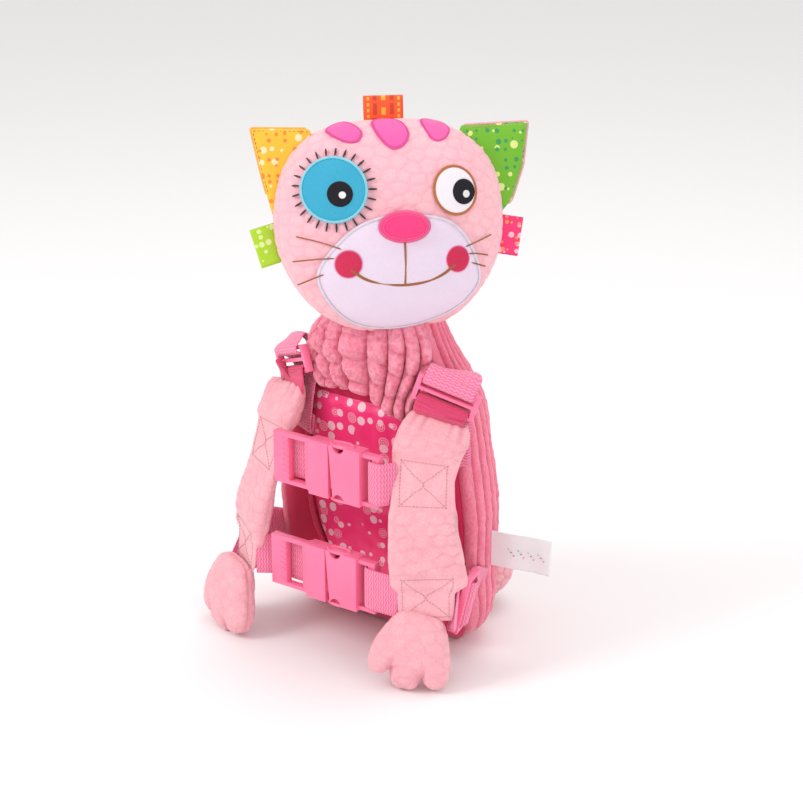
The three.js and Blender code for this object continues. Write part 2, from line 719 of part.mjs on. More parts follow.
function pawSolid(sideName, grow) {
  const mirrored = pawOutline.slice(1, -1).reverse().map(([across, up]) => [-across, up]);
  const rimPoints = [...pawOutline, ...mirrored].map(([across, up]) => new THREE.Vector3(across, 0, up));
  const rimCurve = new THREE.CatmullRomCurve3(rimPoints, true, 'centripetal');
  const ball = new THREE.SphereGeometry(1, 28, 8);
  const lift = new THREE.Matrix4().makeTranslation(0, 0, pawLength / 2);
  const place = new THREE.Matrix4().makeRotationZ(toRadians(pawSplay[sideName]))
    .multiply(new THREE.Matrix4().makeRotationX(toRadians(-9)))
    .multiply(new THREE.Matrix4().makeRotationY(toRadians(-pawLean[sideName])))
    .multiply(lift);
  const paw = reshape(ball, (direction) => {
    const turn = ((Math.atan2(direction.x, direction.z) / (2 * Math.PI)) + 1) % 1;
    const reach = Math.min(Math.hypot(direction.x, direction.z), 1) ** 0.85;
    const rim = rimCurve.getPoint(turn);
    const across = rim.x * reach;
    const up = rim.z * reach;
    const onToes = THREE.MathUtils.smoothstep(-up, 0.05, 0.6);
    const groove = 1 - toeGroove * onToes * Math.exp(-(((Math.abs(across) - toeGrooveAt) / 0.12) ** 2));
    const depth = Math.sign(direction.y) * Math.abs(direction.y) ** 0.7 * groove;
    return new THREE.Vector3(
      across * (pawWidth / 2 + grow),
      depth * (pawThickness / 2 + grow),
      up * (pawLength / 2 + grow),
    ).applyMatrix4(place);
  });
  paw.computeBoundingBox();
  const foot = pawFoot[sideName];
  return paw.translate(foot.x, foot.y, foot.z - paw.boundingBox.min.z - grow);
}

// A ladder lock: a plate with two slots, its width along X and its slots one above the other
const lockBar = 2;
const lockSlot = (lockHeight - 3 * lockBar) / 2;
const lockSide = 2.8;

function rectangle(shape, x, y, width, height) {
  shape.moveTo(x - width / 2, y - height / 2);
  shape.lineTo(x + width / 2, y - height / 2);
  shape.lineTo(x + width / 2, y + height / 2);
  shape.lineTo(x - width / 2, y + height / 2);
  shape.closePath();
  return shape;
}

function plate(shape, depth) {
  const solid = new THREE.ExtrudeGeometry(shape, { depth, bevelEnabled: false, curveSegments: 5 });
  solid.translate(0, 0, -depth / 2);
  solid.rotateX(Math.PI / 2);
  return solid;
}

function lockSolid(grow = 0) {
  const shape = rectangle(new THREE.Shape(), 0, 0, lockWidth + 2 * grow, lockHeight + 2 * grow);
  const slotMiddle = (lockBar + lockSlot) / 2;
  const slotWidth = lockWidth - 2 * lockSide - 2 * grow;
  for (const height of [-slotMiddle, slotMiddle]) {
    shape.holes.push(rectangle(new THREE.Path(), 0, height, slotWidth, lockSlot - 2 * grow));
  }
  return plate(shape, lockThickness + 2 * grow);
}

// The matrix of a frame from its middle, its X direction and its rough Z direction
function frameAt(middle, xWay, zWay) {
  const x = xWay.clone().normalize();
  const y = new THREE.Vector3().crossVectors(zWay, x).normalize();
  const z = new THREE.Vector3().crossVectors(x, y);
  return new THREE.Matrix4().makeBasis(x, y, z).setPosition(middle);
}

const overLock = lockThickness / 2 + clearance + webbingThickness / 2 + 0.35;
const slotMiddleZ = (lockBar + lockSlot) / 2;

const strapCuts = {};
const seamCuts = [];
const pawCuts = [];
for (const [sideName, sideSign] of [['left', -1], ['right', 1]]) {
  const strap = strapSolid(sideSign, 15, 0);
  add(`strap_${sideName}`, strap, colours.plush, 0.95);
  const strapCut = toManifold(strapSolid(sideSign, 15, clearance));
  strapCuts[sideName] = strapCut;

  // Shoulder ladder lock, above the strap's top end
  const strapTop = strapPoint(sideSign, 0);
  const topSide = strapSide(sideSign, 0);
  const lockOffset = new THREE.Vector3(sideSign * lockOutset[sideName], 0, lockRise);
  const lockMiddle = strapTop.clone().add(lockOffset);
  const lockX = topSide.clone().setZ(-0.35).multiplyScalar(sideSign);
  const lockFrame = frameAt(lockMiddle, lockX, new THREE.Vector3(0, -0.10, 1));
  add(`shoulder_ladder_lock_${sideName}`, lockSolid().applyMatrix4(lockFrame), colours.plastic, 0.35);

  const lockBlock = new THREE.BoxGeometry(lockWidth + 1, 2 * overLock + 3 * webbingThickness, lockHeight + 8);
  seamCuts.push(toManifold(lockBlock.applyMatrix4(lockFrame)));
  const inLock = (y, z) => new THREE.Vector3(0, y, z).applyMatrix4(lockFrame);
  const lockWay = new THREE.Vector3().setFromMatrixColumn(lockFrame, 0);
  const lowBarZ = -(lockHeight - lockBar) / 2;
  const topWebbing = toManifold(strip([
    strapTop.clone().lerp(strapPoint(sideSign, 0.2), 0.1).setX(strapTop.x + lockOffset.x * 0.2),
    inLock(-overLock - 0.6, lowBarZ - 3),
    inLock(-overLock, lowBarZ),
    inLock(-lockThickness / 2 - 0.2, lowBarZ + 2.4),
    inLock(0, lowBarZ + 3.0),
    inLock(lockThickness / 2 + 0.2, lowBarZ + 2.4),
    inLock(overLock, lowBarZ),
    inLock(overLock, lowBarZ - 2.5),
  ], 21, shoulderWebbingWidth, webbingThickness, () => lockWay)).subtract(strapCut);
  add(`strap_top_webbing_${sideName}`, fromManifold(topWebbing), colours.webbingDeep, 0.7);

  const hanging = (behind, drop) => inLock(overLock + behind, -5).add(new THREE.Vector3(0, 0, -drop));
  const anchor = bagPoint(anchorUp[sideName], toRadians(sideSign > 0 ? -8 : -172), 3);
  const seamWay = new THREE.Vector3(0.4, sideSign * 0.9, -0.2 * sideSign);
  const topBarZ = (lockHeight - lockBar) / 2;
  const levelWay = lockWay.clone().setZ(0);
  const webbingSide = (share) => seamWay.clone()
    .lerp(lockWay, THREE.MathUtils.smoothstep(share, 0, 0.17))
    .lerp(levelWay, THREE.MathUtils.smoothstep(share, 0.55, 0.75));
  const shoulderStrip = (grow) => toManifold(strip([
    anchor,
    inLock(overLock + 4, topBarZ + 6),
    inLock(0, topBarZ + 3.2),
    inLock(-overLock, topBarZ + 0.6),
    inLock(-overLock, topBarZ - 1.6),
    inLock(-lockThickness / 2, slotMiddleZ + 0.6),
    inLock(lockThickness / 2, slotMiddleZ - 0.6),
    inLock(overLock + 1.4, 0.3),
    inLock(overLock + 2.8, -5),
    hanging(0.0, 18),
    hanging(-1.8, 34),
    hanging(-0.8, 36.5),
    hanging(0.1, 34),
    hanging(0.9, 26),
  ], 39, shoulderWebbingWidth + 2 * grow, webbingThickness + 2 * grow, webbingSide));
  const shoulderWebbing = shoulderStrip(0).subtract(bagCut);
  seamCuts.push(shoulderStrip(clearance + 0.1));
  add(`shoulder_webbing_${sideName}`, fromManifold(shoulderWebbing), colours.webbing, 0.7);

  // Lower ladder lock, between the strap's outer edge and the side of the bag
  const lowAlong = 0.92;
  const lowSide = strapSide(sideSign, lowAlong);
  const strapEdge = strapPoint(sideSign, lowAlong).addScaledVector(lowSide, strapWidth / 2);
  const bagEdge = bagPoint(0.18, toRadians(sideSign > 0 ? 2 : 178), 3);
  const back = bagEdge.clone().sub(strapEdge);
  const lowMiddle = strapEdge.clone().addScaledVector(back, 0.30).add(new THREE.Vector3(sideSign, 0, 0));
  const lowFrame = frameAt(lowMiddle, new THREE.Vector3(sideSign * 0.25, 0, 0.97), back);
  add(`lower_ladder_lock_${sideName}`, lockSolid().applyMatrix4(lowFrame), colours.plastic, 0.35);
  const outwards = new THREE.Vector3().setFromMatrixColumn(lowFrame, 1).x * sideSign > 0 ? 1 : -1;
  const inLow = (out, z) => new THREE.Vector3(0, outwards * out, z).applyMatrix4(lowFrame);
  const lowWay = new THREE.Vector3().setFromMatrixColumn(lowFrame, 0);
  const lowerStrip = (grow) => toManifold(strip([
    strapEdge,
    inLow(-overLock - 0.4, -lockHeight / 2),
    inLow(-overLock, -slotMiddleZ - 1.4),
    inLow(1.2, -slotMiddleZ - 0.1),
    inLow(overLock + 0.2, -1.6),
    inLow(overLock + 0.2, 1.6),
    inLow(1.2, slotMiddleZ + 0.1),
    inLow(-overLock, slotMiddleZ + 1.4),
    inLow(-overLock - 0.2, lockHeight / 2 + 1),
    bagEdge,
  ], 27, shoulderWebbingWidth + 2 * grow, webbingThickness + 2 * grow, () => lowWay));
  const lowerLockCut = toManifold(lockSolid(clearance / 2).applyMatrix4(lowFrame));
  const lowerWebbing = lowerStrip(0).subtract(bagCut).subtract(strapCut).subtract(lowerLockCut);
  add(`lower_webbing_${sideName}`, fromManifold(lowerWebbing), colours.webbing, 0.7);

  pawCuts.push(toManifold(pawSolid(sideName, clearance)));
  const paw = toManifold(pawSolid(sideName, 0)).subtract(strapCut).subtract(lowerStrip(clearance));
  add(`paw_${sideName}`, fromManifold(paw), colours.plush, 0.95);
}

// Yoke, over the webbing that is sewn in at its edge

const chinGap = faceGap + feltThickness + clothGap;
const chinCut = toManifold(headSolid(chinGap, headColumns, headRings).applyMatrix4(headFrame.matrix));
const yokeBox = new THREE.BoxGeometry(1, 1, 1, yokeRibs * 3, 1, 5);
const yokePoint = (corner) => {
  const share = corner.x + 0.5;
  const low = alongTable(yokeEdgeRows, 'up', share, 'across');
  const up = low + (corner.z + 0.5) * (1 - low);
  const climb = THREE.MathUtils.smoothstep(up, 0.72, 0.93);
  const spread = THREE.MathUtils.lerp(yokeLowSpread, yokeTopSpread, climb);
  const angle = toRadians(-90 + yokeTurn + 2 * corner.x * spread);
  const ribShare = share * yokeRibs;
  const rib = Math.abs(Math.sin(Math.PI * ribShare)) ** 0.7;
  const pinch = Math.cos(Math.PI * (up * bagHeight / 11 + Math.floor(ribShare))) ** 2;
  const overPanel = 1 - THREE.MathUtils.smoothstep(up * bagHeight, panelTop + 2, panelTop + 8);
  const under = faceGap + overPanel * (panelThickness + clothGap);
  const outer = under + yokeBody + yokeRibHeight * rib * (1 - yokePinch * pinch);
  return bagPoint(up, angle, corner.y < 0 ? -outer : -under);
};
let yoke = toManifold(reshape(yokeBox, yokePoint)).subtract(chinCut);
for (const cut of seamCuts) {
  yoke = yoke.subtract(cut);
}
add('yoke', fromManifold(yoke), colours.rib, 0.95);

// Belts with side-release buckles. Positions run along the belt from the buckle's middle.
const toothBar = 11;
const frameWindow = 12;
const railHeight = 31;
const windowHeight = beltWidth + 1.4;
const hoodLength = 14;
const hoodShoulder = 3;
const hoodBack = 4;
const latchReach = 14;
const latchHalfHeight = 12.5;
const latchTip = 9;
const latchInner = 7;
const guideHalfHeight = 2.5;
const guideReach = 11;
const latchWindow = 4;
const latchWindowAt = 7;
const femaleBody = 22;
const femaleWindow = 7;
const endBar = 4.7;
const toothCount = 8;
const toothLength = 4;
const toothHeight = 1.4;
const maleStart = -buckleLength / 2;
const maleEnd = maleStart + toothBar + frameWindow + hoodBack + hoodLength;
const femaleStart = maleEnd + clearance;
const femaleEnd = femaleStart + femaleBody + femaleWindow + endBar;

function buckleMale() {
  const rail = railHeight / 2;
  const body = buckleHeight / 2;
  const upperHalf = [
    [maleStart, rail],
    [maleEnd - hoodLength - hoodShoulder, rail],
    [maleEnd - hoodLength, body],
    [maleEnd, body],
    [maleEnd, latchHalfHeight - 2],
    [maleEnd + latchReach * 0.35, latchHalfHeight - 2],
    [maleEnd + latchReach * 0.5, latchHalfHeight],
    [maleEnd + latchReach, latchTip],
    [maleEnd + latchReach, latchInner],
    [maleEnd + 1, latchInner],
    [maleEnd + 1, guideHalfHeight],
    [maleEnd + guideReach, guideHalfHeight - 0.5],
  ];
  const lowerHalf = upperHalf.map(([x, z]) => [x, -z]).reverse();
  const outline = [...upperHalf, ...lowerHalf].reverse().map(([x, z]) => new THREE.Vector2(x, z));
  const shape = new THREE.Shape(outline);
  const windowX = maleStart + toothBar + frameWindow / 2;
  shape.holes.push(rectangle(new THREE.Path(), windowX, 0, frameWindow, windowHeight));
  let solid = toManifold(reshape(plate(shape, buckleFrame), (corner) => corner.clone()));
  for (let tooth = 0; tooth < toothCount; tooth += 1) {
    const z = (tooth - (toothCount - 1) / 2) * windowHeight / toothCount;
    const bump = new THREE.BoxGeometry(toothLength, 1, toothHeight);
    bump.translate(maleStart + toothBar - toothLength / 2 - 0.5, -buckleFrame / 2, z);
    solid = solid.add(toManifold(bump));
  }
  const hood = new THREE.BoxGeometry(hoodLength, buckleThickness, buckleHeight);
  hood.translate(maleEnd - hoodLength / 2, 0, 0);
  return solid.add(toManifold(hood));
}

function buckleFemale() {
  const half = buckleHeight / 2;
  const bodyEnd = femaleStart + femaleBody;
  const windowX = femaleStart + latchWindowAt;
  const shape = new THREE.Shape();
  shape.moveTo(femaleStart, -half);
  shape.absarc(windowX, -half, latchWindow, Math.PI, 0, true);
  shape.lineTo(bodyEnd, -half);
  shape.lineTo(bodyEnd, half);
  shape.absarc(windowX, half, latchWindow, 0, Math.PI, true);
  shape.lineTo(femaleStart, half);
  shape.closePath();
  const body = toManifold(reshape(plate(shape, buckleThickness), (corner) => corner.clone()));
  const frameLength = femaleEnd - bodyEnd + 1;
  const frame = rectangle(new THREE.Shape(), femaleEnd - frameLength / 2, 0, frameLength, railHeight);
  const slotX = bodyEnd + femaleWindow / 2;
  frame.holes.push(rectangle(new THREE.Path(), slotX, 0, femaleWindow, windowHeight));
  const tail = toManifold(reshape(plate(frame, buckleFrame), (corner) => corner.clone()));
  const pocketLength = latchReach + 2;
  const pocketHeight = 2 * (latchHalfHeight + clearance);
  const pocket = new THREE.BoxGeometry(pocketLength, buckleFrame + 2 * clearance, pocketHeight);
  pocket.translate(femaleStart + pocketLength / 2 - 1, 0, 0);
  return body.add(tail).subtract(toManifold(pocket));
}

const beltRows = [
  { name: 'chest', along: 0.34, buckleX: -1, fore: 65 },
  { name: 'waist', along: 0.90, buckleX: -1, fore: 69 },
];
for (const belt of beltRows) {
  const z = strapPoint(1, belt.along).z;
  const middle = new THREE.Vector3(belt.buckleX, -belt.fore, z);
  const placed = (solid) => fromManifold(solid).translate(middle.x, middle.y, middle.z);
  add(`${belt.name}_buckle_male`, placed(buckleMale()), colours.plastic, 0.35);
  add(`${belt.name}_buckle_female`, placed(buckleFemale()), colours.plastic, 0.35);
  const behind = buckleFrame / 2 + clearance + webbingThickness / 2 + 0.3;
  const local = (x, y) => new THREE.Vector3(middle.x + x, middle.y + y, middle.z);
  const upright = new THREE.Vector3(0, 0, 1);
  const strapInner = (sideSign) => strapPoint(sideSign, belt.along)
    .addScaledVector(strapSide(sideSign, belt.along), -strapWidth / 2 + 2);
  const neighbours = [strapCuts.left, strapCuts.right, ...pawCuts];
  const cutByStraps = (solid) => fromManifold(neighbours.reduce((left, cut) => left.subtract(cut), solid));
  add(`${belt.name}_webbing_left`, cutByStraps(toManifold(strip([
    strapInner(-1),
    local(maleStart + 1, behind),
    local(maleStart + toothBar + 2, behind),
    local(maleEnd - hoodLength - 2, behind),
  ], 9, beltWidth, webbingThickness, () => upright))), colours.webbing, 0.7);
  const barX = femaleEnd - endBar;
  add(`${belt.name}_webbing_right`, cutByStraps(toManifold(strip([
    strapInner(1),
    local(femaleEnd + 1.5, -behind),
    local(barX + 1, -behind),
    local(barX - 1.6, -behind + 1.2),
    local(barX - 2.2, 0),
    local(barX - 1.6, behind - 1.2),
    local(barX + 1, behind),
    local(femaleEnd - 0.5, behind),
  ], 21, beltWidth, webbingThickness, () => upright))), colours.webbing, 0.7);
}

export default pack;
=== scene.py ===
# %% [markdown]
# # A plush harness backpack, dressed over its fixed frame
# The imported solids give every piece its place. This lesson makes the cloth, webbing and plastic that a
# viewer sees, one step at a time, in metres and in the same frame as the solids.

# %% Load the frame
import math
import bpy
import bmesh
import numpy as np
from mathutils import Matrix, Vector, kdtree, noise


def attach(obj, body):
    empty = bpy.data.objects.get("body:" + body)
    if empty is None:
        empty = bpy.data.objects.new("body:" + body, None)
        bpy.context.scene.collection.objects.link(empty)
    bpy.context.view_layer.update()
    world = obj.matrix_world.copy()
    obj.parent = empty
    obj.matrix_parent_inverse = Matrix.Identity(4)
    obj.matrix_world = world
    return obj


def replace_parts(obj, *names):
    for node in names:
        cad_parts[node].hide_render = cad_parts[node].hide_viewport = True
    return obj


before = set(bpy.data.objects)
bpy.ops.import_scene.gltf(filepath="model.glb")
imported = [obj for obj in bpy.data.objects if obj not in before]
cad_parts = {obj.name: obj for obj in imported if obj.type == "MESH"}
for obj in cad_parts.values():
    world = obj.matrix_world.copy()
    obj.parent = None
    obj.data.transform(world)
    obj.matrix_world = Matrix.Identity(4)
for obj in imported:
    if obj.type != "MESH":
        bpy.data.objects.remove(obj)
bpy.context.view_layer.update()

MM = 0.001
print("solids loaded:", len(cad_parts))

# %% [markdown]
# ## Camera, light and floor
# The photograph was taken from the front and a little to the right and above, with a long lens. Soft
# goods need broad light, so three large panels and a bright surround are used in place of a hard lamp.

# %% Camera at the photograph's angle
VIEW_TURN, VIEW_RISE, VIEW_DISTANCE = math.radians(36), math.radians(20), 1.2
VIEW_TARGET = Vector((-0.0236, 0.0371, 0.1207))
back = Vector((math.sin(VIEW_TURN) * math.cos(VIEW_RISE), -math.cos(VIEW_TURN) * math.cos(VIEW_RISE),
               math.sin(VIEW_RISE)))
camera_data = bpy.data.cameras.new("camera")
camera_data.lens, camera_data.sensor_width = 88.2, 36
camera = bpy.data.objects.new("camera", camera_data)
camera.location = VIEW_TARGET + back * VIEW_DISTANCE
camera.rotation_euler = (-back).to_track_quat("-Z", "Y").to_euler()
bpy.context.scene.collection.objects.link(camera)
bpy.context.scene.camera = camera
print("camera at, m:", [round(value, 3) for value in camera.location])

# %% Soft studio light and a pale floor
world = bpy.data.worlds.new("studio")
world.use_nodes = True
background = world.node_tree.nodes["Background"]
background.inputs["Color"].default_value = (1.0, 0.98, 0.98, 1)
background.inputs["Strength"].default_value = 0.82
bpy.context.scene.world = world


def panel_light(name, place, power, size):
    data = bpy.data.lights.new(name, "AREA")
    data.energy, data.size, data.shape = power, size, "SQUARE"
    light = bpy.data.objects.new(name, data)
    light.location = place
    light.rotation_euler = (Vector((0, 0, 0.15)) - Vector(place)).to_track_quat("-Z", "Y").to_euler()
    bpy.context.scene.collection.objects.link(light)


panel_light("key", (-0.75, -1.1, 1.15), 10, 0.6)
panel_light("fill", (1.3, -0.6, 0.6), 4.5, 0.9)
panel_light("top", (0.1, 0.5, 1.5), 5, 0.9)

floor_mesh = bpy.data.meshes.new("floor")
floor_mesh.from_pydata([(-3, -3, 0), (3, -3, 0), (3, 3, 0), (-3, 3, 0)], [], [(0, 1, 2, 3)])
floor = bpy.data.objects.new("floor", floor_mesh)
bpy.context.scene.collection.objects.link(floor)
floor_paint = bpy.data.materials.new("floor")
floor_paint.use_nodes = True
floor_shader = floor_paint.node_tree.nodes["Principled BSDF"]
floor_shader.inputs["Base Color"].default_value = (0.93, 0.92, 0.92, 1)
floor_shader.inputs["Roughness"].default_value = 0.6
floor_mesh.materials.append(floor_paint)
print("lights:", len(bpy.data.lights))

# %% [markdown]
# ## Finishes
# Plush is many short fibres and it is matt. Its colour and bump come from noise in object coordinates.
# The colour is painted paler on the tips of the pile and darker between them, and darker again in the
# creases, grooves and seams: this is painted shade, and the amount in the creases is a point attribute
# that the mesh code writes. Webbing and satin have a direction, so they read the UV map, whose unit is
# one millimetre. Each effect that several finishes share is one node group.

# %% Helpers for node trees
def link(tree, source, target):
    tree.links.new(source, target)


def node(tree, kind, **settings):
    made = tree.nodes.new(kind)
    for key, value in settings.items():
        setattr(made, key, value)
    return made


def maths(tree, operation, first, second=None, third=None):
    made = node(tree, "ShaderNodeMath", operation=operation)
    for slot, value in enumerate((first, second, third)):
        if value is None:
            continue
        if isinstance(value, (int, float)):
            made.inputs[slot].default_value = value
        else:
            link(tree, value, made.inputs[slot])
    return made.outputs[0]


def blend_colours(tree, share, first, second):
    made = node(tree, "ShaderNodeMix", data_type="RGBA")
    for socket, value in ((made.inputs[0], share), (made.inputs[6], first), (made.inputs[7], second)):
        if isinstance(value, bpy.types.NodeSocket):
            link(tree, value, socket)
        elif isinstance(value, (int, float)):
            socket.default_value = value
        else:
            socket.default_value = (*value, 1)
    return made.outputs[2]


def new_group(name, inputs, outputs):
    group = bpy.data.node_groups.new(name, "ShaderNodeTree")
    for label, kind, value in inputs:
        socket = group.interface.new_socket(label, in_out="INPUT", socket_type=kind)
        if value is not None:
            socket.default_value = value
    for label, kind in outputs:
        group.interface.new_socket(label, in_out="OUTPUT", socket_type=kind)
    return group, node(group, "NodeGroupInput"), node(group, "NodeGroupOutput")


# %% The pile group: tufts and patchy shade
pile, pile_in, pile_out = new_group(
    "pile",
    [("Tuft Size", "NodeSocketFloat", 0.0011), ("Patch Size", "NodeSocketFloat", 0.016)],
    [("Height", "NodeSocketFloat"), ("Patch", "NodeSocketFloat")])
coordinates = node(pile, "ShaderNodeTexCoord").outputs["Object"]
tufts = node(pile, "ShaderNodeTexNoise")
tufts.inputs["Detail"].default_value = 3
link(pile, coordinates, tufts.inputs["Vector"])
link(pile, maths(pile, "DIVIDE", 1.0, pile_in.outputs["Tuft Size"]), tufts.inputs["Scale"])
patches = node(pile, "ShaderNodeTexNoise")
patches.inputs["Detail"].default_value = 2
link(pile, coordinates, patches.inputs["Vector"])
link(pile, maths(pile, "DIVIDE", 1.0, pile_in.outputs["Patch Size"]), patches.inputs["Scale"])
link(pile, tufts.outputs[0], pile_out.inputs["Height"])
link(pile, patches.outputs[0], pile_out.inputs["Patch"])

# %% The weave group: ribs along a strap, in UV millimetres
weave, weave_in, weave_out = new_group(
    "weave",
    [("Row Pitch", "NodeSocketFloat", 1.3), ("Yarn Pitch", "NodeSocketFloat", 1.6)],
    [("Height", "NodeSocketFloat")])
uv = node(weave, "ShaderNodeUVMap", uv_map="cloth").outputs[0]
split = node(weave, "ShaderNodeSeparateXYZ")
link(weave, uv, split.inputs[0])
row_turn = maths(weave, "DIVIDE", split.outputs["X"], weave_in.outputs["Row Pitch"])
yarn_turn = maths(weave, "DIVIDE", split.outputs["Y"], weave_in.outputs["Yarn Pitch"])
zigzag = maths(weave, "PINGPONG", yarn_turn, 0.5)
rows = maths(weave, "SINE", maths(weave, "MULTIPLY", maths(weave, "ADD", row_turn, zigzag), math.tau))
yarns = maths(weave, "SINE", maths(weave, "MULTIPLY", yarn_turn, math.tau))
woven = maths(weave, "ADD", maths(weave, "MULTIPLY", rows, 0.42), maths(weave, "MULTIPLY", yarns, 0.06))
link(weave, maths(weave, "ADD", woven, 0.5), weave_out.inputs["Height"])


def place_group(tree, group, **values):
    made = node(tree, "ShaderNodeGroup", node_tree=group)
    for label, value in values.items():
        made.inputs[label.replace("_", " ")].default_value = value
    return made


def start_finish(name, roughness, sheen=0.0):
    finish = bpy.data.materials.new(name)
    finish.use_nodes = True
    shader = finish.node_tree.nodes["Principled BSDF"]
    shader.inputs["Roughness"].default_value = roughness
    shader.inputs["Sheen Weight"].default_value = sheen
    shader.inputs["Sheen Roughness"].default_value = 0.5
    shader.inputs["Specular IOR Level"].default_value = 0.25 if roughness > 0.6 else 0.5
    return finish, finish.node_tree, shader


def dye(tree, shader, colour, height, strength, depth):
    """The colour of a finish and the bump of its surface."""
    link(tree, colour, shader.inputs["Base Color"])
    made = node(tree, "ShaderNodeBump")
    made.inputs["Strength"].default_value = strength
    made.inputs["Distance"].default_value = depth
    link(tree, height, made.inputs["Height"])
    link(tree, made.outputs[0], shader.inputs["Normal"])


def darker(colour, share):
    return tuple(channel * share for channel in colour)


print("shader groups:", [group.name for group in bpy.data.node_groups])


# %% Plush and felt
def plush(name, pale, deep, shade_colour, tuft=0.0011, patch=0.016, relief=0.0006, sheen=0.35, contrast=1.5):
    """contrast sets how sharply the pile tips stand out from the painted shade between them; deep is both a
    random mottle and that painted shade, and the third colour is painted shade in creases.
    """
    finish, tree, shader = start_finish(name, 0.95, sheen)
    group = place_group(tree, pile, Tuft_Size=tuft, Patch_Size=patch)
    mottled = blend_colours(tree, group.outputs["Patch"], deep, pale)
    stretched = maths(tree, "MULTIPLY_ADD", group.outputs["Height"], contrast, 0.74 - 0.5 * contrast)
    tips = maths(tree, "MAXIMUM", maths(tree, "MINIMUM", stretched, 1.0), 0.0)
    # Painted shade: the colour is darker between the tips of the pile than on them.
    tuft_shaded = blend_colours(tree, tips, deep, mottled)
    # Painted shade in creases, grooves and seams, read from a point attribute that the mesh code writes.
    painted_shade = node(tree, "ShaderNodeAttribute", attribute_name="painted_shade").outputs["Fac"]
    shaded_mix = blend_colours(tree, painted_shade, tuft_shaded, shade_colour)
    dye(tree, shader, shaded_mix, group.outputs["Height"], 0.8, relief)
    return finish


pale_plush = plush("pale_plush", (0.94, 0.56, 0.61), (0.88, 0.44, 0.50), (0.76, 0.27, 0.34), relief=0.0006)
strap_plush = plush("strap_plush", (0.94, 0.53, 0.57), (0.84, 0.36, 0.42), (0.66, 0.19, 0.26),
                    tuft=0.0014, patch=0.011, relief=0.0011, contrast=2.0)
rib_plush = plush("rib_plush", (0.94, 0.30, 0.41), (0.82, 0.18, 0.285), (0.62, 0.075, 0.15),
                  tuft=0.0017, patch=0.009, relief=0.0014, contrast=2.6)
curly_plush = plush("curly_plush", (0.97, 0.42, 0.525), (0.82, 0.20, 0.30), (0.62, 0.075, 0.15),
                    tuft=0.0025, patch=0.007, relief=0.0032, contrast=3.4)
muzzle_plush = plush("muzzle_plush", (0.80, 0.68, 0.80), (0.72, 0.60, 0.73), (0.62, 0.48, 0.62),
                     tuft=0.0008, relief=0.0003)
nose_felt = plush("nose_felt", (0.90, 0.060, 0.24), (0.80, 0.040, 0.18), (0.50, 0.01, 0.07), relief=0.0003)
cheek_felt = plush("cheek_felt", (0.70, 0.040, 0.115), (0.52, 0.022, 0.070), (0.40, 0.015, 0.05), tuft=0.0009,
                   relief=0.0004, sheen=0.15)
stripe_felt = plush("stripe_felt", (0.86, 0.145, 0.43), (0.78, 0.10, 0.36), (0.66, 0.05, 0.24), relief=0.0003,
                    sheen=0.15)
blue_felt = plush("blue_felt", (0.060, 0.42, 0.60), (0.035, 0.34, 0.52), (0.03, 0.25, 0.42), relief=0.0003,
                  sheen=0.15)
white_felt = plush("white_felt", (0.86, 0.82, 0.86), (0.80, 0.74, 0.80), (0.66, 0.58, 0.66), relief=0.0002)
ink_felt = plush("ink_felt", (0.018, 0.016, 0.022), (0.010, 0.009, 0.012), (0.004, 0.004, 0.005),
                 relief=0.0003, sheen=0.1)
print("plush and felt:", len(bpy.data.materials) - 1)


# %% Thread
def thread(name, colour, sheen=0.2):
    finish, tree, shader = start_finish(name, 0.42, sheen)
    group = place_group(tree, pile, Tuft_Size=0.0005, Patch_Size=0.004)
    mixed = blend_colours(tree, group.outputs["Patch"], darker(colour, 0.72), colour)
    dye(tree, shader, mixed, group.outputs["Height"], 0.4, 0.0002)
    return finish


brown_thread = thread("brown_thread", (0.38, 0.12, 0.018))
orange_thread = thread("orange_thread", (0.52, 0.16, 0.030))
black_thread = thread("black_thread", (0.02, 0.018, 0.02), sheen=0)
blue_thread = thread("blue_thread", (0.25, 0.72, 0.86))
white_thread = thread("white_thread", (0.86, 0.84, 0.86))
lilac_thread = thread("lilac_thread", (0.82, 0.72, 0.82))
pink_thread = thread("pink_thread", (0.88, 0.16, 0.38))
stripe_thread = thread("stripe_thread", (0.80, 0.085, 0.33))
yellow_thread = thread("yellow_thread", (0.93, 0.50, 0.10))
rose_thread = thread("rose_thread", (0.92, 0.45, 0.52))
grey_thread = thread("grey_thread", (0.68, 0.33, 0.36))
print("finishes:", len(bpy.data.materials))


# %% Webbing and plastic
def webbing(name, colour, row=1.5, yarn=2.4):
    finish, tree, shader = start_finish(name, 0.6, 0.25)
    group = place_group(tree, weave, Row_Pitch=row, Yarn_Pitch=yarn)
    # Painted shade: the colour darkens in the weave's grooves, where its height is low.
    weave_shade = (colour[0] * 0.86, colour[1] * 0.42, colour[2] * 0.56)
    dye(tree, shader, blend_colours(tree, group.outputs["Height"], weave_shade, colour), group.outputs["Height"],
        1.0, 0.0005)
    return finish


pink_webbing = webbing("pink_webbing", (0.98, 0.31, 0.50), row=1.7, yarn=3.2)
deep_webbing = webbing("deep_webbing", (0.88, 0.06, 0.21), row=1.2, yarn=1.2)


def plastic(name, colour, deep):
    finish, tree, shader = start_finish(name, 0.3)
    group = place_group(tree, pile, Tuft_Size=0.0009, Patch_Size=0.02)
    worn = maths(tree, "MULTIPLY_ADD", group.outputs["Patch"], 0.16, 0.24)
    link(tree, worn, shader.inputs["Roughness"])
    shader.inputs["Subsurface Weight"].default_value = 0.15
    shader.inputs["Subsurface Radius"].default_value = (0.004, 0.0015, 0.0015)
    dye(tree, shader, blend_colours(tree, group.outputs["Patch"], deep, colour), group.outputs["Height"],
        0.15, 0.0001)
    return finish


pink_plastic = plastic("pink_plastic", (0.95, 0.21, 0.38), (0.90, 0.155, 0.31))
print("finishes:", len(bpy.data.materials))

# %% [markdown]
# ## From sizes to surfaces
# The bag, the head and the straps follow the same named sizes as the solids, so the cloth lands where
# they are. Every surface is a function of two numbers, sampled on a fine grid. That gives clean faces,
# room for ribs and folds, and a UV map in millimetres.

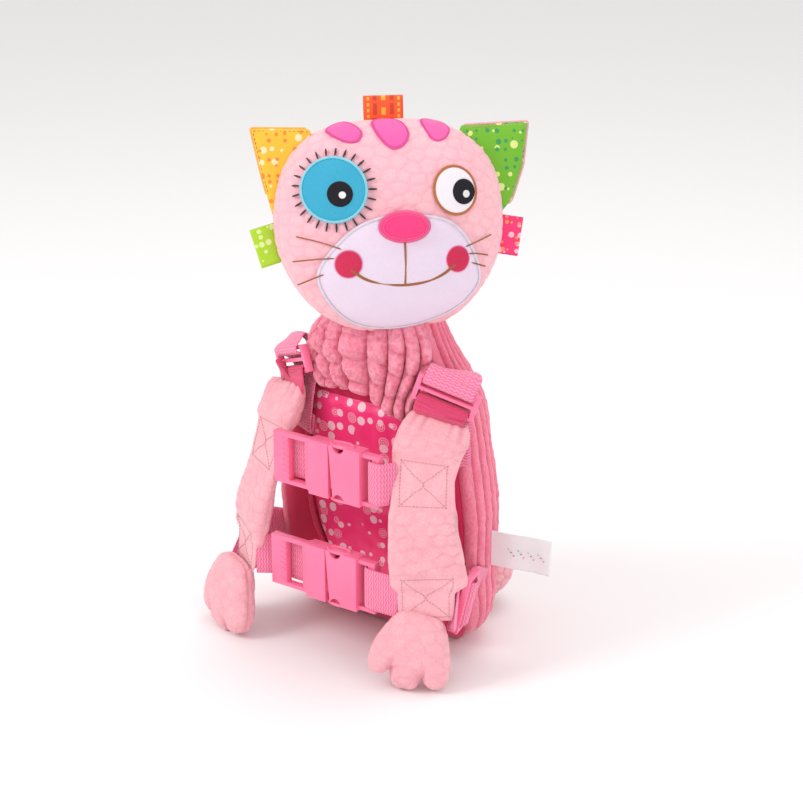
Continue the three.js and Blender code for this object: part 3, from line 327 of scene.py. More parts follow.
# %% Meshes from points and faces
def mesh_piece(name, points, faces, finish, flat=None, painted_shade=None, face_finish=None):
    """A smooth mesh from millimetres; flat is each point's place on the flat cloth, also in millimetres."""
    mesh = bpy.data.meshes.new(name)
    mesh.from_pydata((np.asarray(points, float) * MM).tolist(), [], faces)
    for material in (finish if isinstance(finish, (list, tuple)) else [finish]):
        mesh.materials.append(material)
    if face_finish is not None:
        mesh.polygons.foreach_set("material_index", np.asarray(face_finish, np.int32))
    if flat is not None:
        corners = [flat[corner] for face in faces for corner in face]
        layer = mesh.uv_layers.new(name="cloth")
        layer.data.foreach_set("uv", np.asarray(corners, np.float32).ravel())
    # Each point's amount of painted shade, for creases, grooves, seams and rims.
    if painted_shade is not None:
        attribute = mesh.attributes.new("painted_shade", "FLOAT", "POINT")
        attribute.data.foreach_set("value", np.clip(np.asarray(painted_shade, np.float32), 0, 1))
    mesh.polygons.foreach_set("use_smooth", [True] * len(mesh.polygons))
    mesh.update()
    made = bpy.data.objects.new(name, mesh)
    bpy.context.scene.collection.objects.link(made)
    return made


def grid_faces(rows, columns, wrap=False):
    faces, spans = [], columns if wrap else columns - 1
    for row in range(rows - 1):
        for column in range(spans):
            after = (column + 1) % columns
            faces.append((row * columns + column, row * columns + after,
                          (row + 1) * columns + after, (row + 1) * columns + column))
    return faces


def slab_faces(rows, columns):
    """A grid, the same grid behind it turned over, and the rim between them."""
    front, behind = grid_faces(rows, columns), rows * columns
    rim = (list(range(columns)) + [row * columns + columns - 1 for row in range(1, rows)]
           + [(rows - 1) * columns + column for column in range(columns - 2, -1, -1)]
           + [row * columns for row in range(rows - 2, 0, -1)])
    return (front + [tuple(corner + behind for corner in reversed(face)) for face in front]
            + [(a, b, b + behind, a + behind) for a, b in zip(rim, rim[1:] + rim[:1])])


def fan(tip, first, count, inwards=False):
    """Triangles from a ring of points, which starts at first, to one tip."""
    pairs = [(first + k, first + (k + 1) % count) for k in range(count)]
    return [(tip, a, b) if inwards else (tip, b, a) for a, b in pairs]


def tube_faces(rows, ring):
    """Faces of a tube whose two end points come after the points of its rings."""
    return (grid_faces(rows, ring, wrap=True) + fan(rows * ring, 0, ring)
            + fan(rows * ring + 1, (rows - 1) * ring, ring, inwards=True))


def icosphere(subdivisions):
    ball = bmesh.new()
    bmesh.ops.create_icosphere(ball, subdivisions=subdivisions, radius=1)
    spots = np.array([vert.co[:] for vert in ball.verts])
    faces = [tuple(vert.index for vert in face.verts) for face in ball.faces]
    ball.free()
    return spots, faces


def lengths_along(points):
    return np.concatenate([[0], np.cumsum(np.linalg.norm(np.diff(points, axis=0), axis=1))])


def pairs_of(first, second):
    """Every pair of the two lists, row by row."""
    return np.stack(np.meshgrid(first, second, indexing="ij"), -1).reshape(-1, 2)


# %% Finishing a piece
def outward(made):
    """Turns the faces of a closed mesh outwards after its doubles are merged."""
    work = bmesh.new()
    work.from_mesh(made.data)
    bmesh.ops.remove_doubles(work, verts=work.verts, dist=1e-6)
    bmesh.ops.recalc_face_normals(work, faces=work.faces)
    work.to_mesh(made.data)
    work.free()
    return made


def dress(made, node_name):
    """The piece rides on the body in place of its plain solid."""
    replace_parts(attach(made, "root"), node_name)
    return made


# %% Soft noise, cobbles and curves
def smooth_noise(points, size, seed=0.0):
    points = np.asarray(points)
    offset = Vector((seed * 17.3, seed * 7.1, seed * 3.7))
    values = [noise.noise(Vector(point) / size + offset) for point in points.reshape(-1, 3).tolist()]
    return np.array(values).reshape(points.shape[:-1])


MOST_COBBLES, CLOSEST_SHARE, GROOVE_SHARE = 900, 0.62, 0.16


def nearest_two(points, pitch, seed):
    """Distances to the nearest and second nearest of evenly spread spots over the points."""
    points = np.asarray(points, float)
    start = np.random.default_rng(seed).integers(len(points))
    spots, reach = [points[start]], np.full(len(points), 1e9)
    for _ in range(MOST_COBBLES):
        reach = np.minimum(reach, np.linalg.norm(points - spots[-1], axis=1))
        farthest = int(reach.argmax())
        if reach[farthest] < pitch * CLOSEST_SHARE:
            break
        spots.append(points[farthest])
    tree = kdtree.KDTree(len(spots))
    for number, spot in enumerate(spots):
        tree.insert(spot, number)
    tree.balance()
    found = [tree.find_n(point, 2) for point in points.tolist()]
    return np.array([f[0][2] for f in found]), np.array([f[1][2] for f in found])


def cobbles(points, pitch, stretch=(1, 1, 1), seed=3):
    """1 in the middle of an embossed cobble, 0 in the groove round it."""
    first, second = nearest_two((np.asarray(points) * np.asarray(stretch)).reshape(-1, 3), pitch, seed)
    height = 1 - np.exp(-((second - first) / (GROOVE_SHARE * pitch)) ** 2)
    return height.reshape(np.shape(points)[:-1])


def hermite(t, start, end, slope_start, slope_end):
    return ((2 * t**3 - 3 * t**2 + 1) * start + (t**3 - 2 * t**2 + t) * slope_start
            + (3 * t**2 - 2 * t**3) * end + (t**3 - t**2) * slope_end)


def table_curve(table, column, share, by):
    """A smooth curve through one column of a table of sizes."""
    keys, values = np.array(table[by], float), np.array(table[column], float)
    share = np.asarray(share, float)
    row = np.clip(np.searchsorted(keys, share, side="left") - 1, 0, len(keys) - 2)
    before, after = np.maximum(row - 1, 0), np.minimum(row + 2, len(keys) - 1)
    span = keys[row + 1] - keys[row]
    t = np.clip((share - keys[row]) / span, 0, 1)
    slope_start = (values[row + 1] - values[before]) / (keys[row + 1] - keys[before]) * span
    slope_end = (values[after] - values[row]) / (keys[after] - keys[row]) * span
    return hermite(t, values[row], values[row + 1], slope_start, slope_end)


def smoothstep(value, low, high):
    t = np.clip((np.asarray(value, float) - low) / (high - low), 0, 1)
    return t * t * (3 - 2 * t)


def route(points, samples):
    """A smooth curve through the points."""
    points = np.asarray(points, float)
    padded = np.vstack([2 * points[0] - points[1], points, 2 * points[-1] - points[-2]])
    spots = []
    for t in np.linspace(0, len(points) - 1, samples):
        i = min(int(t), len(points) - 2)
        p0, p1, p2, p3 = padded[i:i + 4]
        d = [max(np.linalg.norm(b - a), 1e-6) ** 0.5 for a, b in ((p0, p1), (p1, p2), (p2, p3))]
        m1 = ((p1 - p0) / d[0] - (p2 - p0) / (d[0] + d[1]) + (p2 - p1) / d[1]) * d[1]
        m2 = ((p2 - p1) / d[1] - (p3 - p1) / (d[1] + d[2]) + (p3 - p2) / d[2]) * d[1]
        spots.append(hermite(t - i, p1, p2, m1, m2))
    return np.array(spots)


def unit(vectors):
    vectors = np.asarray(vectors, float)
    return vectors / np.maximum(np.linalg.norm(vectors, axis=-1, keepdims=True), 1e-9)


# %% The bag's surface, as a table of sizes from the base up
BAG_HEIGHT, BAG_HALF_WIDTH, BAG_DEPTH, BAG_SQUARE = 206, 75, 70, 2.6
BAG = {"up": [0, .03, .09, .21, .38, .54, .70, .80, .88, 1],
       "wide": [.74, .84, .91, .94, .95, .88, .76, .64, .54, .42],
       "lean": [0, 0, 0, 0, 0, 0, .02, .05, .07, .09],
       "front": [-.17, -.28, -.38, -.43, -.44, -.45, -.47, -.51, -.56, -.58],
       "middle": [-.02, -.06, -.13, -.22, -.26, -.22, -.18, -.23, -.28, -.32],
       "back": [.34, .40, .45, .47, .48, .49, .46, .32, .14, 0]}


def bag_point(up, angle, inset=0.0):
    up, angle = np.broadcast_arrays(np.asarray(up, float), np.asarray(angle, float))
    half = table_curve(BAG, "wide", up, "up") * BAG_HALF_WIDTH
    centre = table_curve(BAG, "lean", up, "up") * BAG_HALF_WIDTH
    front, middle, rear = (table_curve(BAG, c, up, "up") * BAG_DEPTH for c in ("front", "middle", "back"))
    c, s = np.cos(angle), np.sin(angle)
    depth = np.where(s > 0, rear - middle, middle - front)
    power = 2 / BAG_SQUARE
    return np.stack([centre + (half - inset) * np.sign(c) * np.abs(c) ** power,
                     middle + (depth - inset) * np.sign(s) * np.abs(s) ** power,
                     up * BAG_HEIGHT], -1)


def bag_side_at(x, z, column):
    up = np.asarray(z, float) / BAG_HEIGHT
    half = table_curve(BAG, "wide", up, "up") * BAG_HALF_WIDTH
    centre = table_curve(BAG, "lean", up, "up") * BAG_HALF_WIDTH
    middle = table_curve(BAG, "middle", up, "up") * BAG_DEPTH
    far = table_curve(BAG, column, up, "up") * BAG_DEPTH
    share = np.minimum(np.abs(x - centre) / half, 0.98)
    return middle + (far - middle) * (1 - share ** BAG_SQUARE) ** (1 / BAG_SQUARE)


# %% The head's surface, in the head's own frame
HEAD_WIDTH, HEAD_HEIGHT, HEAD_DEPTH, FACE_SQUARE, CROWN = 128, 115, 72, 2.6, 2.2
head_frame = (Matrix.Translation((8, -19, 250)) @ Matrix.Rotation(math.radians(43), 4, "Z")
              @ Matrix.Rotation(math.radians(-13), 4, "X"))
HEAD_TURN = np.array(head_frame.to_3x3())
HEAD_AT = np.array(head_frame.translation)


def to_pack(points):
    return np.asarray(points) @ HEAD_TURN.T + HEAD_AT


def face_parts(x, z):
    """How far a place is across and up the face, each as a share of the way to the outline."""
    jaw = 1 - 0.16 * np.maximum(-z / (HEAD_HEIGHT / 2), 0) ** 1.6
    return (np.abs(x) / (HEAD_WIDTH / 2 * jaw)) ** FACE_SQUARE, np.abs(z / (HEAD_HEIGHT / 2)) ** FACE_SQUARE


def head_level(points):
    """1 on the head's surface, less inside it."""
    across, up = face_parts(points[..., 0], points[..., 2])
    return across + up + (np.abs(points[..., 1]) / (HEAD_DEPTH / 2)) ** CROWN


def head_front(x, z):
    across, up = face_parts(x, z)
    return -(HEAD_DEPTH / 2) * np.maximum(1 - across - up, 1e-4) ** (1 / CROWN)


def with_chin(points):
    """The stuffing sags a little, which makes the chin fuller."""
    points = np.array(points, float)
    points[..., 2] *= 1 + 0.055 * smoothstep(-points[..., 2], 25, 57)
    return points


def over_face(x, z, height):
    x, z = np.asarray(x, float), np.asarray(z, float)
    slope_x = head_front(x + .5, z) - head_front(x - .5, z)
    slope_z = head_front(x, z + .5) - head_front(x, z - .5)
    out = unit(np.stack([slope_x, -np.ones_like(slope_x), slope_z], -1))
    return with_chin(np.stack([x, head_front(x, z), z], -1) + out * np.asarray(height)[..., None]), out


def clear_of_head(points, gap):
    """Moves points that lie inside the head out to its surface."""
    local = (np.asarray(points) - HEAD_AT) @ HEAD_TURN
    level = head_level(local / (1 + gap / 50))
    reach = np.where(level < 1, np.maximum(level, 0.05) ** (-1 / 2.5), 1.0)
    return to_pack(local * np.minimum(reach, 1.6)[..., None])


print("bag top and head centre, mm:", bag_point(1, 0).round(1), HEAD_AT.round(1))

# %% [markdown]
# ## Stitches from Geometry Nodes
# Thread is what repeats most here: running stitches, satin borders, lashes, whiskers and the teeth of
# the zip. All of them are one short capsule placed again and again along a path, so one node tree makes
# them. Its inputs are the pitch, the length and width of a stitch and its turn across the path.

# %% Build the stitch tree once
stitch_tree = bpy.data.node_groups.new("stitches_along_a_path", "GeometryNodeTree")
for label, kind, value in (("Geometry", "NodeSocketGeometry", None), ("Pitch", "NodeSocketFloat", 0.003),
                           ("Length", "NodeSocketFloat", 0.002), ("Width", "NodeSocketFloat", 0.0005),
                           ("Turn", "NodeSocketFloat", 0.0), ("Finish", "NodeSocketMaterial", None)):
    socket = stitch_tree.interface.new_socket(label, in_out="INPUT", socket_type=kind)
    if value is not None:
        socket.default_value = value
stitch_tree.interface.new_socket("Geometry", in_out="OUTPUT", socket_type="NodeSocketGeometry")
tree_in, tree_out = node(stitch_tree, "NodeGroupInput"), node(stitch_tree, "NodeGroupOutput")
as_curve = node(stitch_tree, "GeometryNodeMeshToCurve")
resample = node(stitch_tree, "GeometryNodeResampleCurve", mode="LENGTH")
up_way = node(stitch_tree, "GeometryNodeInputNamedAttribute", data_type="FLOAT_VECTOR")
up_way.inputs["Name"].default_value = "up"
along_way = node(stitch_tree, "GeometryNodeInputTangent")
axes = node(stitch_tree, "FunctionNodeAxesToRotation", primary_axis="Z", secondary_axis="X")
turned = node(stitch_tree, "FunctionNodeRotateRotation", rotation_space="LOCAL")
turn_by = node(stitch_tree, "FunctionNodeAxisAngleToRotation")
turn_by.inputs["Axis"].default_value = (0, 0, 1)
capsule = node(stitch_tree, "GeometryNodeMeshUVSphere")
capsule.inputs["Segments"].default_value, capsule.inputs["Rings"].default_value = 6, 4
capsule.inputs["Radius"].default_value = 0.5
lie_down = node(stitch_tree, "GeometryNodeTransform")
lie_down.inputs["Rotation"].default_value = (0, math.pi / 2, 0)
stitch_size = node(stitch_tree, "ShaderNodeCombineXYZ")
placed = node(stitch_tree, "GeometryNodeInstanceOnPoints")
real = node(stitch_tree, "GeometryNodeRealizeInstances")
coloured = node(stitch_tree, "GeometryNodeSetMaterial")
for source, outlet, target, inlet in (
        (tree_in, "Geometry", as_curve, 0), (as_curve, 0, resample, "Curve"),
        (tree_in, "Pitch", resample, "Length"), (resample, 0, placed, "Points"),
        (up_way, "Attribute", axes, "Primary Axis"), (along_way, 0, axes, "Secondary Axis"),
        (axes, 0, turned, "Rotation"), (tree_in, "Turn", turn_by, "Angle"),
        (turn_by, 0, turned, "Rotate By"), (turned, 0, placed, "Rotation"),
        (capsule, "Mesh", lie_down, "Geometry"), (lie_down, 0, placed, "Instance"),
        (tree_in, "Length", stitch_size, "X"), (tree_in, "Width", stitch_size, "Y"),
        (tree_in, "Width", stitch_size, "Z"), (stitch_size, 0, placed, "Scale"), (placed, 0, real, 0),
        (real, 0, coloured, "Geometry"), (tree_in, "Finish", coloured, "Material"),
        (coloured, 0, tree_out, 0)):
    link(stitch_tree, source.outputs[outlet], target.inputs[inlet])
stitch_sockets = {item.name: item.identifier for item in stitch_tree.interface.items_tree
                  if item.in_out == "INPUT"}
print("stitch tree nodes:", len(stitch_tree.nodes))


# %% Rows of stitches as plain meshes
def stitches(name, paths, finish, pitch, length, width, across=False):
    """paths is a list of (points, ups, closed) in millimetres; gives one plain mesh of stitches."""
    points, ups, edges = [], [], []
    for path, up, closed in paths:
        start, count = len(points), len(path)
        points += list(np.asarray(path) * MM)
        ups += list(np.asarray(up))
        edges += [(start + k, start + k + 1) for k in range(count - 1)]
        if closed:
            edges.append((start + count - 1, start))
    mesh = bpy.data.meshes.new(name + "_path")
    mesh.from_pydata([tuple(p) for p in points], edges, [])
    attribute = mesh.attributes.new("up", "FLOAT_VECTOR", "POINT")
    attribute.data.foreach_set("vector", np.asarray(ups, np.float32).ravel())
    source = bpy.data.objects.new(name + "_path", mesh)
    bpy.context.scene.collection.objects.link(source)
    modifier = source.modifiers.new("stitches", "NODES")
    modifier.node_group = stitch_tree
    for label, value in (("Pitch", pitch * MM), ("Length", length * MM), ("Width", width * MM),
                         ("Turn", math.pi / 2 if across else 0.0), ("Finish", finish)):
        modifier[stitch_sockets[label]] = value
    bpy.context.view_layer.update()
    depsgraph = bpy.context.evaluated_depsgraph_get()
    made_mesh = bpy.data.meshes.new_from_object(source.evaluated_get(depsgraph))
    made_mesh.name = name
    made = bpy.data.objects.new(name, made_mesh)
    bpy.data.objects.remove(source)
    if not made_mesh.materials:
        made_mesh.materials.append(finish)
    made_mesh.polygons.foreach_set("use_smooth", [True] * len(made_mesh.polygons))
    bpy.context.scene.collection.objects.link(made)
    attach(made, "root")
    print(name, len(made_mesh.polygons), "faces")
    return made

# %% [markdown]
# ## The ribbed bag
# The bag is wide-rib plush: soft cords about 10 mm wide run from the base up to the neck. The surface
# is sampled along the girth by its real length, so that the cords keep one width, and each cord is a
# rounded ridge, painted darker in the grooves as shade. The smooth cloth between the straps is the same
# loft without cords, coloured a dark crimson satin as painted shade.

# %% Cords along the girth
CORDS, CORD_DEPTH, COLUMNS_PER_CORD = 27, 2.6, 9
girth = np.radians(np.linspace(-25, 205, 1200))
ring = bag_point(0.38, girth)
length = lengths_along(ring[:, :2])
cord_share = np.linspace(0, 1, CORDS * COLUMNS_PER_CORD + 1)
cord_angles = np.interp(cord_share * length[-1], length, girth)
front_angles = np.radians(np.linspace(205, 335, 42)[1:-1])
angles = np.concatenate([cord_angles, front_angles])
ups = np.concatenate([np.linspace(0, 0.06, 10)[:-1], np.linspace(0.06, 1, 150)])
U, A = np.meshgrid(ups, angles, indexing="ij")
phase = np.zeros_like(A)
phase[:, :len(cord_angles)] = cord_share * CORDS
on_cords = np.zeros_like(A)
on_cords[:, :len(cord_angles)] = 1
ridge = np.abs(np.sin(np.pi * phase)) ** 0.55
flat = bag_point(U, A)
wander, fine, curls = smooth_noise(flat, 34, 2), smooth_noise(flat, 9, 5), smooth_noise(flat, 3.2, 11)
fade = smoothstep(U, 0.0, 0.05)
base_round = 6.5 * (1 - np.clip(U / 0.17, 0, 1)) ** 2
inset = (on_cords * ((1 - ridge) * CORD_DEPTH * fade - 0.9 * fade + base_round - 0.45 * curls * fade)
         - wander * 1.2 * fade - fine * 0.35)
zip_z = 0.61 * BAG_HEIGHT
zip_trench = (smoothstep(48 - np.abs(flat[..., 0]), 0, 4) * (flat[..., 1] > 0)
              * np.exp(-((flat[..., 2] - zip_z) / 4.2) ** 4))
inset = inset * (1 - zip_trench) + 3.0 * zip_trench
bag_points = bag_point(U, A, inset)
rows, columns = A.shape
print("grid up and round:", A.shape)

# %% Close the base and the top
base_middle = np.array([[0, 6, 0.6]])
top_middle = np.array([[BAG["lean"][-1] * BAG_HALF_WIDTH, -10, BAG_HEIGHT - 1.0]])
low_ring = bag_points[0]
inner = [low_ring * (1 - s) + base_middle * s for s in (0.03, 0.35, 0.7)]
inner[0][:, 2] = 0.3
points = np.concatenate([bag_points.reshape(-1, 3), *inner, base_middle, top_middle])
points[:rows * columns] = clear_of_head(points[:rows * columns], 0.5)
faces = grid_faces(rows, columns, wrap=True)
first_inner = rows * columns
loops = [list(range(columns))] + [[first_inner + k * columns + c for c in range(columns)] for k in range(3)]
for upper, lower in zip(loops[:-1], loops[1:]):
    faces += [(lower[c], lower[(c + 1) % columns], upper[(c + 1) % columns], upper[c])
              for c in range(columns)]
faces += fan(len(points) - 2, loops[-1][0], columns)
faces += fan(len(points) - 1, (rows - 1) * columns, columns, inwards=True)
painted_shade = np.zeros(len(points))
# Painted shade in the grooves between the cords.
painted_shade[:rows * columns] = (on_cords * (1 - ridge) ** 1.2 * fade).ravel()
finishes = [1 if (k < (rows - 1) * columns and k % columns >= len(cord_angles) - 1) else 0
            for k in range(len(faces))]
# The smooth front satin is coloured a dark crimson that is painted shade.
shadowed_front_satin = plush("shadowed_front_satin", (0.66, 0.022, 0.10), (0.52, 0.014, 0.075), (0.40, 0.008, 0.05),
                    tuft=0.0006, patch=0.02, relief=0.0001, sheen=0.2)
bag = mesh_piece("bag", points, faces, [rib_plush, shadowed_front_satin], painted_shade=painted_shade, face_finish=finishes)
dress(outward(bag), "bag_shell")
print("bag faces:", len(bag.data.polygons))

# %% [markdown]
# ## The puffed bib
# Under the chin the cloth is gathered into eight fat cords that are pinched at staggered heights, so
# they look like beads of curly pile. It is one grid over the bag, and the height of each bead is a
# product of a ridge across and a pinch along.

# %% Beaded grid
YOKE_EDGE = {"across": [0, .45, .65, .85, 1], "up": [.73, .74, .71, .69, .70]}
YOKE_RIBS, YOKE_LOW, YOKE_TOP, YOKE_TURN = 8, 28, 72, 3
across = np.linspace(0, 1, YOKE_RIBS * 15 + 1)
climb = np.linspace(0, 1, 110)
V, S = np.meshgrid(climb, across, indexing="ij")
low = table_curve(YOKE_EDGE, "up", S, "across")
rib_number = np.minimum(np.floor(S * YOKE_RIBS), YOKE_RIBS - 1)
ridge = np.abs(np.sin(np.pi * S * YOKE_RIBS)) ** 0.6
hem = 0.012 * (1 - ridge)
up = low + hem + V * (1 - low - hem)
spread = YOKE_LOW + (YOKE_TOP - YOKE_LOW) * smoothstep(up, 0.72, 0.93)
angle = np.radians(-90 + YOKE_TURN + (2 * S - 1) * spread)
height_mm = (up - low) * BAG_HEIGHT
stagger = np.where(rib_number % 2 == 0, 0.0, 6.5) + 2.2 * np.sin(rib_number * 2.1)
pinch = np.abs(np.sin(np.pi * (height_mm + stagger) / 14.5)) ** 0.55
hem_round = np.sqrt(np.clip(1 - (1 - np.clip(height_mm / 4.5, 0, 1)) ** 2, 0, 1))
side_round = np.sqrt(np.clip(1 - np.abs(2 * S - 1) ** 14, 0, 1))
over_panel = 1 - smoothstep(up * BAG_HEIGHT, 149, 155)
under = 0.8 + over_panel * 2.9
lumps = smooth_noise(bag_point(up, angle), 7, 9)
bead = ridge * (0.42 + 0.58 * pinch)
curls = smooth_noise(bag_point(up, angle, -5.0), 2.7, 14)
tuck = 1 - smoothstep(up, 0.87, 0.98)
outer = under + (1.6 + 6.8 * bead) * hem_round * side_round * tuck + (0.6 * lumps + 0.75 * curls) * side_round
front_sheet = clear_of_head(bag_point(up, angle, -outer), 0.3)
rear_sheet = clear_of_head(bag_point(up, angle, -under), 0.1)
points = np.concatenate([front_sheet.reshape(-1, 3), rear_sheet.reshape(-1, 3)])
# Painted shade between the beads and in the curls; the rear sheet is painted full shade.
painted_shade = np.concatenate([((1 - bead) ** 1.7 * 0.85 - curls * 0.5).ravel(), np.ones(up.size)])
bib = outward(mesh_piece("bib", points, slab_faces(*up.shape), curly_plush, painted_shade=painted_shade))
dress(bib, "yoke")
print("bib faces:", len(bib.data.polygons))

# %% [markdown]
# ## The padded head
# The head is a stuffed pillow with a seam round its outline. An icosphere gives even faces all round,
# and each point slides out along its ray to the pillow's surface. The embossed cobbles of the plush are
# pressed in as real relief, because they catch the light at the edges of the form.

# %% Pillow with embossed cobbles
HEAD_HALF = (HEAD_WIDTH / 2, HEAD_DEPTH / 2, HEAD_HEIGHT / 2)
spots, head_faces = icosphere(7)
rays = spots * HEAD_HALF


def slide_out(rays, level):
    inner, outer = np.full(len(rays), 0.5), np.full(len(rays), 2.0)
    for _ in range(26):
        reach = (inner + outer) / 2
        inside = level(rays * reach[:, None]) < 1
        inner, outer = np.where(inside, reach, inner), np.where(inside, outer, reach)
    return rays * inner[:, None]


skin = slide_out(rays, head_level)
out = unit(skin / np.square(HEAD_HALF))
cobble = cobbles(skin, 11.5, stretch=(1, 1, 1.35), seed=4)
seam = np.exp(-(skin[:, 1] / 1.1) ** 2)
sag = smooth_noise(skin, 30, 1) * 1.3
skin = with_chin(skin + out * (cobble * 0.5 - 0.5 - seam * 1.1 + sag * 0.5)[:, None])
# Painted shade in the grooves round the cobbles and along the seam.
head = mesh_piece("head_pillow", to_pack(skin), head_faces, pale_plush,
                  painted_shade=(1 - cobble) * 0.2 + seam * 0.5)
dress(outward(head), "head")
print("head faces:", len(head.data.polygons))

# %% [markdown]
# ## The face
# Each patch of felt or plush lies over the pillow and follows it: its outline is a closed curve across
# and up the face, filled with rings, and lifted a little more in the middle than at the rim. Satin
# borders and lines are rows of stitches set across the path.

# %% Patch and line helpers
SHARE = np.array([HEAD_WIDTH / 2, HEAD_HEIGHT / 2])


def closed_outline(corners, count):
    corners = np.asarray(corners, float)
    looped = np.vstack([corners[-2:], corners, corners[:3]])
    spots = route(np.c_[looped, np.zeros(len(looped))], 40 * (len(looped) - 1) + 1)[80:-80, :2]
    reach, half = lengths_along(spots), len(spots) // 2
    back_at_start = int(np.argmin(np.linalg.norm(spots[1:] - spots[0], axis=1)[half:])) + half + 1
    where = np.linspace(0, reach[back_at_start], count, endpoint=False)
    return np.stack([np.interp(where, reach, spots[:, k]) for k in range(2)], -1)


def scaled(outline, share):
    return outline.mean(0) + (outline - outline.mean(0)) * share


def oval(across, up, half_width, half_height, count=96, tilt=0.0):
    turn = np.linspace(0, math.tau, count, endpoint=False)
    x, z = half_width * np.cos(turn), half_height * np.sin(turn)
    c, s = math.cos(math.radians(tilt)), math.sin(math.radians(tilt))
    return np.stack([across * SHARE[0] + x * c - z * s, up * SHARE[1] + x * s + z * c], -1)


def patch(name, outline, lift, thickness, finish, node_name=None, rings=22, puff=0.0, rim=0.12, relief=None):
    middle = outline.mean(0)
    reach = np.concatenate([np.linspace(0.0, 1 - rim, rings)[1:], np.linspace(1 - rim, 1, 6)[1:]])
    x = middle[0] + (outline[None, :, 0] - middle[0]) * reach[:, None]
    z = middle[1] + (outline[None, :, 1] - middle[1]) * reach[:, None]
    edge = np.clip((reach - (1 - rim)) / rim, 0, 1)
    height = lift + thickness * np.sqrt(np.clip(1 - edge ** 2 * 0.98, 0, 1)) + puff * (1 - reach ** 2)
    height = np.broadcast_to(height[:, None], x.shape).copy()
    if relief is not None:
        height += relief(x, z) * (1 - edge[:, None])
    top, _ = over_face(x, z, height)
    under, _ = over_face(x[-1], z[-1], np.full(x.shape[1], -0.4))
    core, _ = over_face(middle[:1], middle[1:], np.array([lift + thickness + puff]))
    base, _ = over_face(middle[:1], middle[1:], np.array([-0.4]))
    count = outline.shape[0]
    points = np.concatenate([top.reshape(-1, 3), under, core, base])
    faces = grid_faces(len(reach), count, wrap=True)
    last = (len(reach) - 1) * count
    faces += [(last + c, last + (c + 1) % count, last + count + (c + 1) % count, last + count + c)
              for c in range(count)]
    faces += fan(len(points) - 2, 0, count) + fan(len(points) - 1, last + count, count, inwards=True)
    # Painted shade round the rounded rim of each patch.
    painted_shade = np.zeros(len(points))
    painted_shade[:len(reach) * count] = np.broadcast_to((edge ** 2 * 0.5)[:, None], x.shape).ravel()
    made = outward(mesh_piece(name, to_pack(points), faces, finish, painted_shade=painted_shade))
    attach(made, "root")
    if node_name:
        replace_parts(made, node_name)
    return made


def face_path(points, height, closed=False, samples=None):
    points = np.asarray(points, float)
    if samples:
        points = route(np.c_[points, np.zeros(len(points))], samples)[:, :2]
    spots, out = over_face(points[:, 0], points[:, 1], np.full(len(points), float(height)))
    return to_pack(spots), out @ HEAD_TURN.T, closed


def in_mm(shares):
    return np.asarray(shares, float) * SHARE


# %% Muzzle, nose, cheeks and stripes
muzzle_line = closed_outline(in_mm([
    (-.64, -.44), (-.42, -.10), (-.21, .04), (.07, .08), (.44, .02), (.61, -.17), (.72, -.53), (.67, -.64),
    (.51, -.78), (.06, -.92), (-.33, -.88), (-.56, -.68)]), 200)
muzzle_line = scaled(muzzle_line, (1.025, 1.01))


def muzzle_relief(x, z):
    return 0.5 * smooth_noise(np.stack([x, z, z * 0], -1), 14, 3)


patch("muzzle_patch", muzzle_line, 0.2, 1.5, muzzle_plush, "muzzle", rings=40, puff=1.6, relief=muzzle_relief)
stitches("muzzle_border", [face_path(scaled(muzzle_line, 0.985), 1.5, True)], lilac_thread, 0.55, 2.0, 0.9,
         across=True)
nose_line = oval(.07, -.02, 13.6, 8.2)
patch("nose_pad", nose_line, 1.8, 2.6, nose_felt, "nose", puff=2.2)
stitches("nose_stitch", [face_path(oval(.07, -.02, 11.6, 6.4), 5.4, True)], pink_thread, 1.5, 1.3, 0.5)
stitches("nose_border", [face_path(oval(.07, -.02, 13.5, 8.1), 2.8, True)], pink_thread, 0.5, 1.8, 0.7,
         across=True)
for name, line in (("cheek_left", oval(-.40, -.35, 7.2, 7.3)), ("cheek_right", oval(.515, -.335, 6.4, 7.0))):
    patch(name + "_patch", line, 1.8, 1.1, cheek_felt, name, puff=0.5)
    stitches(name + "_border", [face_path(scaled(line, 0.96), 2.7, True)], pink_thread, 0.6, 1.3, 0.5,
             across=True)
STRIPES = {
    "stripe_left": [(-.54, .89), (-.36, .97), (-.235, .87), (-.28, .78), (-.37, .77)],
    "stripe_middle": [(-.15, .96), (.10, .97), (.165, .84), (.09, .72), (-.02, .71)],
    "stripe_right": [(.28, .97), (.48, .94), (.53, .87), (.45, .77), (.36, .77)]}
for name, shares in STRIPES.items():
    line = closed_outline(in_mm(shares), 90)
    patch(name + "_patch", line, 0.1, 0.7, stripe_felt, name, rings=12, puff=0.2)
    stitches(name + "_border", [face_path(scaled(line, 0.90), 0.85, True)], stripe_thread, 0.6, 1.1, 0.5,
             across=True)

# %% Eyes and lashes
eye_left, eye_right = oval(-.50, .335, 17.6, 17.6), oval(.515, .30, 11.9, 13.2, tilt=14)
patch("eye_left_patch", eye_left, 0.3, 1.3, blue_felt, "eye_patch_left", puff=0.5)
stitches("eye_left_border", [face_path(oval(-.50, .335, 16.9, 16.9), 1.8, True)], blue_thread, 0.55, 1.7, 0.8,
         across=True)
stitches("eye_left_lashes", [face_path(oval(-.50, .335, 20.2, 20.2, count=220), 0.9, True)], black_thread,
         20.2 * math.tau / 23, 5.4, 1.25, across=True)
patch("eye_right_patch", eye_right, 0.3, 1.2, white_felt, "eye_patch_right", puff=0.4)
stitches("eye_right_border", [face_path(oval(.515, .30, 11.5, 12.8, tilt=14), 1.4, True)], orange_thread,
         0.5, 1.9, 0.9, across=True)
patch("pupil_left_patch", oval(-.455, .295, 6.8, 6.8), 1.7, 0.9, ink_felt, "pupil_left", rings=10)
